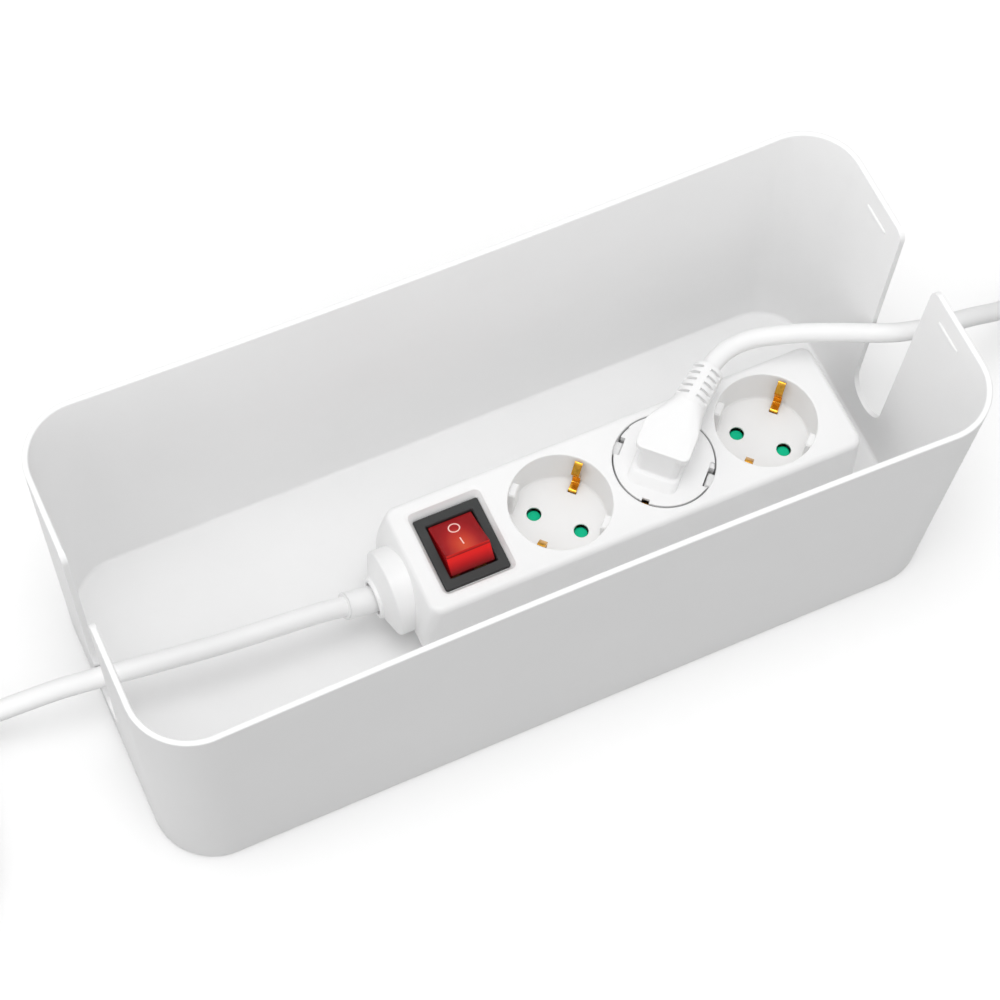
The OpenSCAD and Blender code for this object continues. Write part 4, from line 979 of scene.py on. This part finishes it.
class CABLEBOX_OT_switch(bpy.types.Operator):
    """Builds the switch frame and its lit rocker with the two marks"""
    bl_idname = "cablebox.switch"
    bl_label = "Switch"

    def execute(self, context):
        s = in_mm(context.scene.cable_box_strip)
        w = in_mm(context.scene.cable_box_switch)
        x, y = switch_middle(s, w)
        low = STRIP_Z + s.height - s.recess
        top = low + w.frame_t
        self.rim(w, x, y, low, top)
        drop, tilt = 4.1, -23  # the pivot under the frame's top, and the rocker's tilt
        pivot = Matrix.Translation((x, y, top - drop)) @ turned_about("X", tilt)
        self.rocker(w, pivot)
        self.marks(w, pivot)
        return {"FINISHED"}

    def rim(self, w, x, y, low, top):
        """The frame on its can, with a window that has a chamfered edge."""
        half_l, half_w = w.frame_l / 2, w.frame_w / 2
        open_l, open_w = w.window_l / 2, w.window_w / 2
        wall, depth = 1.4, 13.4
        rim = loft("switch_rim", [
            lift(centred(x, y, half_l - d, half_w - d, 0.7 - d * 0.5, 5), z)
            for d, z in ((0, low), (0, top - 0.45), (0.13, top - 0.13), (0.45, top))])
        can = block_at("can", x, y, open_l + wall, open_w + wall, low - depth, low + 0.5, 0.5)
        combine(rim, [can], "UNION")
        combine(rim, [loft("window", [
            lift(centred(x, y, open_l + d, open_w + d, 0.5, 5), z)
            for d, z in ((0, low - 12), (0, top - 0.4), (0.3, top), (0.3, top + 1))])])
        dress(shade(rim, 30), "strip", "dark_frame", "switch_frame")

    def rocker(self, w, pivot):
        """The rocker: a hollow top between two ridges, on sides that narrow to the pivot."""
        reach, high, half = w.reach, w.ridge, w.rocker / 2
        crown = [(reach * t, high - ROCKER_HOLLOW * (1 - t ** 2))
                 for t in (1 - i / 8 for i in range(17))]
        crown[0] = (reach - 0.15, high)
        crown[-1] = (0.15 - reach, high)
        side = [(-reach - 0.05, high - 0.3), (-reach + 0.12, high - 0.62), (-11.2, -0.8),
                (-9.4, -3.4), (-3, -4.6)]
        outline = (crown + side + [(-y, z) for y, z in reversed(side)])[::-1]
        # places along the rocker, with how far its edge is rounded off there
        ends = ((-half, 0.35), (-half + 0.1, 0.12), (-half + 0.35, 0), (half - 0.35, 0),
                (half - 0.1, 0.12), (half, 0.35))
        rings = [[(x, y * (1 - d / 11), z - math.copysign(d, z)) for y, z in outline]
                 for x, d in ends]
        dress(shade(place(loft("rocker", rings), pivot), 26), "rocker", "red_rocker",
              "switch_rocker")

    def marks(self, w, pivot):
        """The round and the straight mark, as thin prints on the rocker's top."""
        over, under = 0.03, -0.1

        def top(y):
            return w.ridge - ROCKER_HOLLOW * (1 - (y / w.reach) ** 2) + over

        ring_x, ring_y, ring_r, half_line = -0.12, 4.2, 2.1, 0.23
        sections = []
        for a in full_turn(48):
            section = []
            for r, h in ((ring_r - half_line, over), (ring_r + half_line, over),
                         (ring_r + half_line, under), (ring_r - half_line, under)):
                x, y = ring_x + r * math.cos(a), ring_y + r * math.sin(a)
                section.append((x, y, top(y) + h))
            sections.append(section)
        bar_x, bar_low, bar_high = -0.2, -5.5, -1.5
        rows = []
        for y in (bar_low + (bar_high - bar_low) * i / 6 for i in range(7)):
            x0, x1 = bar_x - half_line, bar_x + half_line
            rows.append([(x0, y, top(y) + under), (x1, y, top(y) + under),
                         (x1, y, top(y) + over), (x0, y, top(y) + over)])
        paint = moulded("white_print", linear("ffd9d0"), low=0.4, high=0.5, tone=0.01)
        for mark in (hoop("mark_off", sections), loft("mark_on", rows)):
            dress(place(mark, pivot), "rocker", "red_rocker")
            mark.data.materials.clear()
            mark.data.materials.append(paint)


# ---------- leads ----------

# the free stretches, from where each lead leaves its sleeve or relief to its coil
SUPPLY_ROUTE = [
    (-64.6, -1.65, 27.3), (-67.4, -1.65, 28.2), (-74, -1.6, 30.3), (-82, -1.3, 31.3),
    (-92, -0.7, 31.6), (-102, 0, 31.7), (-114, 0.9, 32), (-126, 2.1, 32.3),
    (-137, 3.3, 32.5), (-148, 4.7, 32.5), (-157.5, 6, 32.5), (-165, 7.1, 31.9),
    (-172, 8.4, 30.6), (-179, 9.6, 28.7), (-187, 11.1, 25.8), (-195, 12.9, 22),
    (-204, 15.4, 17.2), (-213, 18.5, 12.8), (-222, 22.1, 9.2), (-231, 26, 6.5), (-240, 29.8, 5.2),
    (-249, 33, 4.7), (-258, 35.1, 4.7), (-267, 36, 4.7)]
APPLIANCE_ROUTE = [
    (93.6, 20.4, 57), (96, 22.15, 57), (100.6, 24.4, 57.1), (105.7, 25.8, 57.3), (111.2, 26, 57.7),
    (117, 25.1, 58.2), (124.5, 22.6, 59), (132, 19.8, 59.7), (139, 16.6, 60.4), (146, 12.9, 61.5),
    (152, 9.2, 63), (158.5, 5.6, 64.2), (165, 3.4, 63.8), (172, 2.4, 62.3), (178.5, 2.1, 60),
    (186, 2.5, 56.8), (193.5, 3.4, 53.4), (201, 4.6, 49), (208, 5.9, 44), (215.6, 7.7, 38),
    (223, 10.1, 31.8), (230, 12.9, 25.6), (237, 16.1, 19.6), (245, 19.9, 13.5), (253, 23.5, 8.7),
    (261, 26.4, 5.8), (270, 28.3, 4.6), (278, 28.9, 4.5), (286, 28.9, 4.5)]
# both ends of the angled plug's strain relief
BOOT_START, BOOT_END = Vector((79, 9.2, 57)), Vector((93.2, 20.1, 57))


def coil_path(start, heading, hand, d, gap, middle, turns, tail_z):
    """A coil of a lead d thick, to the right (hand 1) or left (-1), and its tail.

    It winds in along the lower layer, climbs over half a turn, and winds out along the upper
    one. middle is the mean radius of a layer, and tail_z the height at which the tail ends.
    """
    step = d + gap
    inner = middle - step * turns / 4
    sweep = 360 * turns
    blunt, climb_half = 20, 90  # in degrees: how softly the spiral turns round, half the climb

    def radius(off):
        return inner + step * math.sqrt(off * off + blunt * blunt) / 360

    def climb(off):
        if abs(off) > climb_half:
            return 0 if off < 0 else 1
        return (1 + math.sin(math.radians(off))) / 2

    h = math.radians(heading)
    outer = radius(180 * turns)
    cx = start[0] + d * math.cos(h) + hand * outer * math.sin(h)
    cy = start[1] + d * math.sin(h) - hand * outer * math.cos(h)
    path = [Vector(start)]
    points = math.ceil(24 * turns)
    for i in range(points + 1):
        t = sweep * i / points
        a, off = math.radians(heading + hand * (90 - t)), t - sweep / 2
        path.append(Vector((cx + radius(off) * math.cos(a), cy + radius(off) * math.sin(a),
                            start[2] + step * climb(off))))
    last, out = path[-1].copy(), math.radians(heading - hand * sweep)
    tail = ((8, 0), (17, 0.1), (27, 0.6), (36, 1), (44, 1))  # (distance, share of the rise)
    for far, up in tail:
        path.append(last + Vector((far * math.cos(out), far * math.sin(out),
                                   up * (tail_z - last.z))))
    return path


def lead_paths(c):
    """The points of both leads, from the strip or plug to the far end."""
    supply = [Vector(p) for p in SUPPLY_ROUTE]
    appliance = [Vector(p) for p in APPLIANCE_ROUTE]
    supply += coil_path(supply[-1], heading=180, hand=-1, d=c.supply, gap=c.step, middle=46.1,
                        turns=4, tail_z=c.plug)[1:]
    appliance += coil_path(appliance[-1], heading=0, hand=1, d=c.appliance, gap=c.step,
                           middle=39.8, turns=5, tail_z=9.3)[1:]
    return supply, appliance


class CABLEBOX_OT_leads(bpy.types.Operator):
    """Builds the supply lead and the appliance lead with the coils that they are put away in"""
    bl_idname = "cablebox.leads"
    bl_label = "Leads"

    def execute(self, context):
        c = in_mm(context.scene.cable_box_leads)
        self.band("supply_band", "supply_tie", c.supply)
        self.band("appliance_band", "appliance_tie", c.appliance)
        supply, appliance = lead_paths(c)
        line = spline(supply, 3)
        lead = tube("supply_cord", line, c.supply / 2, 24)
        dress(shade(lead, 50), "strip", "white_rubber", "supply_lead", "supply_coil")
        line = spline(appliance, 3)
        lead = tube("appliance_cord", line, c.appliance / 2, 24)
        lead.data.materials.append(finish("white_rubber"))
        shade(lead, 50)
        bake(lead)
        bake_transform(lead)
        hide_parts("appliance_lead", "appliance_coil")
        return {"FINISHED"}

    def band(self, name, plain, cord):
        """A tie whose round corners hug a coil's turns, laid where the frame's plain tie is."""
        thing = bpy.data.objects[plain]
        points = [thing.matrix_world @ v.co / MM for v in thing.data.vertices]
        low, high = (f(p.z for p in points) for f in (min, max))
        corners = []
        for p in points:
            if p.z < low + 0.05 and all((p - q).length > 0.5 for q in corners):
                corners.append(p)
        start = corners[0]
        corners.sort(key=lambda p: (p - start).length)
        middle = sum(corners, Vector()) / len(corners)
        half_w, half_l = ((corners[k] - start).length / 2 for k in (1, 2))
        along = (corners[2] - start).normalized()
        aside = Vector((0, 0, 1)).cross(along)
        thick, r = 0.9, cord / 2 + 0.2
        outer = rounded(-half_l, half_l, 0, high - low, r + thick)
        inner = rounded(thick - half_l, half_l - thick, thick, high - low - thick, r)
        sections = [[middle + along * x + aside * y + Vector((0, 0, z))
                     for (x, z), y in ((a, -half_w), (a, half_w), (b, half_w), (b, -half_w))]
                    for a, b in zip(outer, inner)]
        dress(shade(hoop(name, sections), 35, 0.15), "strip", "black_tie", plain)


# ---------- plugs ----------

def slotted_boot(name, length, r0, r1, at, spine=1.5):
    """A tapered strain relief with five rows of short slots beside a spine."""
    def radius(z):
        return r0 + (r1 - r0) * z / length

    rows, skin, slot_half = 5, 1.5, 0.65
    side = [(radius(z), z) for z in (0, length * 0.3, length * 0.7, length - 0.8)]
    side += [(radius(length) - 0.2, length - 0.25), (radius(length) - 0.7, length)]
    boot = turned(name, [(0, 0)] + side + [(0, length)], 56)
    cuts = []
    for i in range(rows):
        z = length * (i + 1.05) / (rows + 0.9)
        r = radius(z)
        for sx in (-1, 1):
            for sy in (-1, 1):
                x0, x1 = on_side(sx, spine, r + 2)
                y0, y1 = on_side(sy, r * 0.34, r + 2)
                slot = prism("slot", rounded(x0, x1, y0, y1, 0.4, 3), z - slot_half,
                             z + slot_half)
                cuts.append(combine(slot, [rod("core", r - skin, z - 2, z + 2, 40)]))
    combine(boot, cuts)
    return place(boot, at)


def insert_solid(name, c, s, low, high, lid=0.0):
    """The part of a plug that enters a well, with its pins along X.

    A lid, given by its thickness, closes the clips' recesses but for a slot.
    """
    r, edge, beyond, notch, recess = c.plug, 0.45, 25, 4.2, 3.7
    top = r + 0.45 if lid else r
    body = turned(name, [(0, low), (r - 0.5, low), (r, low + 0.5), (top, high - edge),
                         (top - edge * 0.3, high - edge * 0.3), (top - edge, high), (0, high)], 112)
    tools = []
    for side in (-1, 1):
        x0, x1 = on_side(side, s.well - s.rib_h - 0.4, beyond)
        tools.append(block("notch", x0, x1, -notch, notch, low - 1, high + 1, 0.4))
        if lid:
            ends = (-5.3, 6.0) if side > 0 else (-notch, 8.6)
            tools.append(block("step", x0, x1, *ends, high - lid, high + 1, 0.4))
        y0, y1 = on_side(side, 15.5, beyond)
        tools.append(block("recess", -recess, recess, y0, y1, low - 1,
                           high - lid if lid else high + 1))
        if lid:
            y0, y1 = on_side(side, 17.7, beyond)
            tools.append(block("slot", side * 1.1 - 1.5, side * 1.1 + 1.5, y0, y1, high - lid - 1,
                               high + 1, 0.2))
    return combine(body, tools)


class CABLEBOX_OT_angled_plug(bpy.types.Operator):
    """Builds the angled plug in the middle socket and its strain relief"""
    bl_idname = "cablebox.angled_plug"
    bl_label = "Angled plug"

    def execute(self, context):
        s = in_mm(context.scene.cable_box_strip)
        c = in_mm(context.scene.cable_box_leads)
        z1 = STRIP_Z + s.height
        f = socket_frame(s, 1)
        disc = insert_solid("angled_plug_disc", c, s, z1 - s.depth + 0.3, z1 + 0.15, 1.4)
        dress(shade(place(disc, f), 30), "appliance_plug", "white_shell")
        at_boot = way_frame(BOOT_START, BOOT_END)

        def rim(r):
            return [at_boot @ Vector((r * math.cos(a), r * math.sin(a), 1.0))
                    for a in full_turn(40)]

        def level(x0, x1, y0, y1, up, r):
            return [f @ Vector(p) for p in lift(rounded(x0, x1, y0, y1, r, 6), z1 + up)]

        foot = hull("foot", level(-11.4, 8.7, -15.6, 12, -1.5, 3.5)
                    + level(-10.8, 8.1, -9.5, 11.4, 2.6, 3))
        column = hull("column", level(-8.7, 7, -8, 10, 0.5, 2) + level(-8.7, 7, -7, 10, 15.5, 2)
                      + rim(6.5))
        cap = hull("cap", level(-11, 10, -7, 7, 14.5, 2.6) + level(-11, 10, -7, 7, 17.5, 2.6)
                   + rim(6.7))
        combine(foot, [column, cap], "UNION")
        melt(foot, cell=0.36, rounds=4)
        foot.name = "angled_plug_shell"
        dress(foot, "appliance_plug", "white_shell", "appliance_plug_body")
        foot.data.shade_smooth()
        length = (BOOT_END - BOOT_START).length
        boot = slotted_boot("angled_plug_relief", length + 0.6, 6.75, 6.0, at_boot)
        dress(shade(boot, 35), "appliance_plug", "white_rubber", "appliance_plug_boot")
        return {"FINISHED"}


def tail_frame(path):
    """The frame at a lead's end, with X along the lead."""
    way = path[-1] - path[-2]
    return Matrix.Translation(path[-1]) @ Matrix.Rotation(math.atan2(way.y, way.x), 4, "Z")


RELIEF = 24.0  # length of the strain relief on a lead's far end
LIE_OUT = turned_about("Y", 90)  # turns a piece's Z to point along the lead


class CABLEBOX_OT_end_plugs(bpy.types.Operator):
    """Builds the straight plug on the supply lead and the connector on the appliance lead"""
    bl_idname = "cablebox.end_plugs"
    bl_label = "Plug and connector"

    def execute(self, context):
        s = in_mm(context.scene.cable_box_strip)
        c = in_mm(context.scene.cable_box_leads)
        supply, appliance = lead_paths(c)
        self.plug(s, c, tail_frame(supply))
        self.connector(c, tail_frame(appliance))
        return {"FINISHED"}

    def plug(self, s, c, f):
        """The plug: a relief, a ribbed waist and the round end that enters a well."""
        relief = slotted_boot("mains_plug_relief", RELIEF + 0.5, c.supply / 2 + 1.2, 8.0,
                              f @ LIE_OUT, 1.6)
        dress(shade(relief, 35), "strip", "white_rubber", "mains_plug_boot")
        thick, grip_l = s.depth - 0.3, 20.0
        face = Matrix.Translation((RELIEF + grip_l + thick, 0, 0))
        grip = insert_solid("mains_plug_grip", c, s, 0, thick)
        place(grip, f @ face @ turned_about("Y", -90) @ turned_about("Z", 90))
        waist = [(0, 0), (8.6, 0), (9, 0.3), (9.6, 2), (11.4, 6), (13.6, 10), (15.9, 14),
                 (17.6, 17), (18.4, 18.6), (c.plug, 20), (c.plug, 20.6), (0, 20.6)]
        shoulder = place(turned("shoulder", waist, 96),
                         f @ Matrix.Translation((RELIEF, 0, 0)) @ LIE_OUT)
        grooves = []
        for side in (-1, 1):
            for i in range(5):
                x, r = RELIEF + 8.5 + i * 2.2, 10.3 + i * 1.25  # they follow the waist
                y0, y1 = on_side(side, r, r + 8)
                grooves.append(place(block("groove", x - 0.5, x + 0.5, y0, y1, -7, 7), f))
        combine(shoulder, grooves)
        combine(grip, [shoulder], "UNION")
        dress(shade(grip, 32), "strip", "white_shell", "mains_plug_body")

    def connector(self, c, f):
        """The connector: a relief and a flat shell with three slots in its face."""
        relief = slotted_boot("connector_relief", RELIEF + 0.5, c.appliance / 2 + 1.2, 7.0,
                              f @ LIE_OUT)
        dress(shade(relief, 35), "strip", "white_rubber", "connector_boot")

        def across(half_w, half_h, r, x):
            return [f @ Vector((x, y, z)) for y, z in centred(0, 0, half_w, half_h, r)]

        # half-width, half-height, corner radius and distance along the lead
        shape = [(7.6, 7.6, 7.4, 24.0), (8, 8, 7.6, 24.6), (9.6, 8.5, 7.6, 28),
                 (11.8, 9.0, 6.4, 32), (12.8, 9.25, 4.6, 35), (13, 9.3, 3.4, 38),
                 (13, 9.3, 2.6, 61.4), (12.8, 9.1, 2.4, 61.85), (12.4, 8.7, 2.0, 62)]
        shell = loft("connector_shell", [across(*row) for row in shape])
        combine(shell, [place(block("slot", 46, 63, y - 1.4, y + 1.4, z - 2.6, z + 2.6, 0.4), f)
                        for y, z in ((-7, 1.5), (7, 1.5), (0, -2.5))])
        dress(shade(shell, 30), "strip", "white_shell", "connector_body")


class CABLEBOX_OT_finishes(bpy.types.Operator):
    """Gives every solid that still shows its finish"""
    bl_idname = "cablebox.finishes"
    bl_label = "Finishes"

    def execute(self, context):
        for name in frame["nodes"]:
            for filled in bpy.data.objects[name].material_slots:
                slot = filled.material.name.split(".")[0] if filled.material else None
                if slot in MAKERS:
                    filled.material = finish(slot)
        return {"FINISHED"}


# ---------- the stage ----------

class CABLEBOX_OT_camera(bpy.types.Operator):
    """Places the camera at the photographed angle"""
    bl_idname = "cablebox.camera"
    bl_label = "Camera"

    def execute(self, context):
        # fitted to the photograph: the place in metres, the angles in degrees
        at, lens, sensor = Vector((-0.22008, -0.38220, 0.94755)), 97.67, 36
        turn, rise, roll = (math.radians(a) for a in (-29.631, 63.575, 5.415))
        back = Vector((math.sin(turn) * math.cos(rise), -math.cos(turn) * math.cos(rise),
                       math.sin(rise)))
        right = (-back).cross(Vector((0, 0, 1))).normalized()
        up = right.cross(-back)
        across = math.cos(roll) * right + math.sin(roll) * up
        upright = -math.sin(roll) * right + math.cos(roll) * up
        data = bpy.data.cameras.new("camera")
        data.lens = lens
        data.sensor_width = sensor
        data.clip_end = 20
        camera = added("camera", data)
        axes = Matrix((across, upright, back)).transposed().to_4x4()
        camera.matrix_world = Matrix.Translation(at) @ axes
        context.scene.camera = camera
        return {"FINISHED"}


class CABLEBOX_OT_stage(bpy.types.Operator):
    """Lays the pale floor and sets the soft lamp and the white surroundings"""
    bl_idname = "cablebox.stage"
    bl_label = "Floor and light"

    def execute(self, context):
        context.scene.view_settings.view_transform = "Standard"
        reach = 6000
        floor = solid("floor", [(-reach, -reach, 0), (reach, -reach, 0), (reach, reach, 0),
                                (-reach, reach, 0)], [(0, 1, 2, 3)])
        floor.data.materials.append(self.pale_floor())
        self.surroundings(context.scene)
        self.lamp("lamp_top", at=(-0.05, -0.05, 1.6), side=0.7, power=5.5)
        return {"FINISHED"}

    def pale_floor(self):
        """White where it is seen, and dim in the light that it throws back on the box."""
        made, tree, shader, where = begin("pale_floor")
        dim = [(0.3, (0.14, 0.14, 0.14)), (0.7, (0.16, 0.16, 0.16))]
        seen = self.seen(tree)
        tint = node(tree, "ShaderNodeMix", data_type="RGBA")
        tint.inputs["B"].default_value = (0.9, 0.9, 0.9, 1)
        wire(tree, (ramp(tree, mottle(tree, where, 3.0), dim), tint.inputs["A"]),
             (seen, tint.inputs["Factor"]), (tint.outputs["Result"], shader.inputs["Base Color"]))
        shader.inputs["Roughness"].default_value = 0.9
        shader.inputs["Specular IOR Level"].default_value = 0.0
        glow = node(tree, "ShaderNodeEmission", Strength=0.15)
        nothing = node(tree, "ShaderNodeEmission", Strength=0.0)
        both = tree.nodes.new("ShaderNodeAddShader")
        wire(tree, (shader.outputs[0], both.inputs[0]),
             (self.pick(tree, seen, nothing, glow), both.inputs[1]),
             (both.outputs[0], tree.nodes["Material Output"].inputs["Surface"]))
        return made

    def surroundings(self, scene):
        """Soft light that is stronger from the front left and above, and white where it is seen."""
        world = scene.world = bpy.data.worlds.new("surroundings")
        world.use_nodes = True
        tree = world.node_tree
        soft = tree.nodes["Background"]
        soft.inputs["Color"].default_value = (1, 1, 1, 1)
        way = tree.nodes.new("ShaderNodeTexCoord")
        brightest, swing, mean = Vector((-0.7, -0.4, 0.59)).normalized(), 0.5, 0.68
        tilt = node(tree, "ShaderNodeVectorMath", operation="DOT_PRODUCT")
        tilt.inputs[1].default_value = brightest
        level = node(tree, "ShaderNodeMath", operation="MULTIPLY_ADD")
        level.inputs[1].default_value = swing
        level.inputs[2].default_value = mean
        white = node(tree, "ShaderNodeBackground", Strength=1.0)
        white.inputs["Color"].default_value = (1, 1, 1, 1)
        wire(tree, (way.outputs["Generated"], tilt.inputs[0]),
             (tilt.outputs["Value"], level.inputs[0]), (level.outputs[0], soft.inputs["Strength"]),
             (self.pick(tree, self.seen(tree), soft, white),
              tree.nodes["World Output"].inputs["Surface"]))

    def seen(self, tree):
        """1 where the camera, a mirrored or a clear piece sees the surroundings."""
        path = tree.nodes.new("ShaderNodeLightPath")
        seen = path.outputs["Is Camera Ray"]
        for ray in ("Is Glossy Ray", "Is Transmission Ray"):
            either = node(tree, "ShaderNodeMath", operation="MAXIMUM")
            wire(tree, (seen, either.inputs[0]), (path.outputs[ray], either.inputs[1]))
            seen = either.outputs[0]
        return seen

    def pick(self, tree, factor, unseen, seen):
        """The first of two shaders at 0 and the second at 1."""
        mix = tree.nodes.new("ShaderNodeMixShader")
        wire(tree, (factor, mix.inputs[0]), (unseen.outputs[0], mix.inputs[1]),
             (seen.outputs[0], mix.inputs[2]))
        return mix.outputs[0]

    def lamp(self, name, at, side, power):
        """A square lamp that faces the box's middle."""
        data = bpy.data.lights.new(name, "AREA")
        data.size = side
        data.energy = power
        lamp = added(name, data)
        lamp.location = at
        lamp.rotation_euler = Vector(at).to_track_quat("Z", "Y").to_euler()


GROUPS = {
    "cable_box_tub": CABLEBOX_tub_sizes,
    "cable_box_strip": CABLEBOX_strip_sizes,
    "cable_box_switch": CABLEBOX_switch_sizes,
    "cable_box_leads": CABLEBOX_lead_sizes,
    "cable_box_colours": CABLEBOX_colours,
}
STEPS = [CABLEBOX_OT_camera, CABLEBOX_OT_stage, CABLEBOX_OT_angled_plug, CABLEBOX_OT_end_plugs,
         CABLEBOX_OT_leads, CABLEBOX_OT_tub, CABLEBOX_OT_housing, CABLEBOX_OT_shutters,
         CABLEBOX_OT_gland, CABLEBOX_OT_clips, CABLEBOX_OT_switch, CABLEBOX_OT_finishes]


class CABLEBOX_PT_panel(bpy.types.Panel):
    """Lists the steps that build the cable box"""
    bl_label = "Cable Box"
    bl_idname = "CABLEBOX_PT_panel"
    bl_space_type = "VIEW_3D"
    bl_region_type = "UI"
    bl_category = "Cable Box"

    def draw(self, context):
        for step in STEPS:
            self.layout.operator(step.bl_idname)
        for name in GROUPS:
            group = getattr(context.scene, name)
            box = self.layout.box()
            for key in group.__annotations__:
                box.prop(group, key)


def register():
    for name, kind in GROUPS.items():
        bpy.utils.register_class(kind)
        setattr(bpy.types.Scene, name, PointerProperty(type=kind))
    for kind in STEPS + [CABLEBOX_PT_panel]:
        bpy.utils.register_class(kind)


def unregister():
    for kind in [CABLEBOX_PT_panel] + STEPS:
        bpy.utils.unregister_class(kind)
    for name, kind in GROUPS.items():
        delattr(bpy.types.Scene, name)
        bpy.utils.unregister_class(kind)


def main():
    """Registers the add-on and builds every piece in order."""
    register()
    for step in STEPS:
        group, name = step.bl_idname.split(".")
        getattr(getattr(bpy.ops, group), name)()


if __name__ == "__main__":
    main()
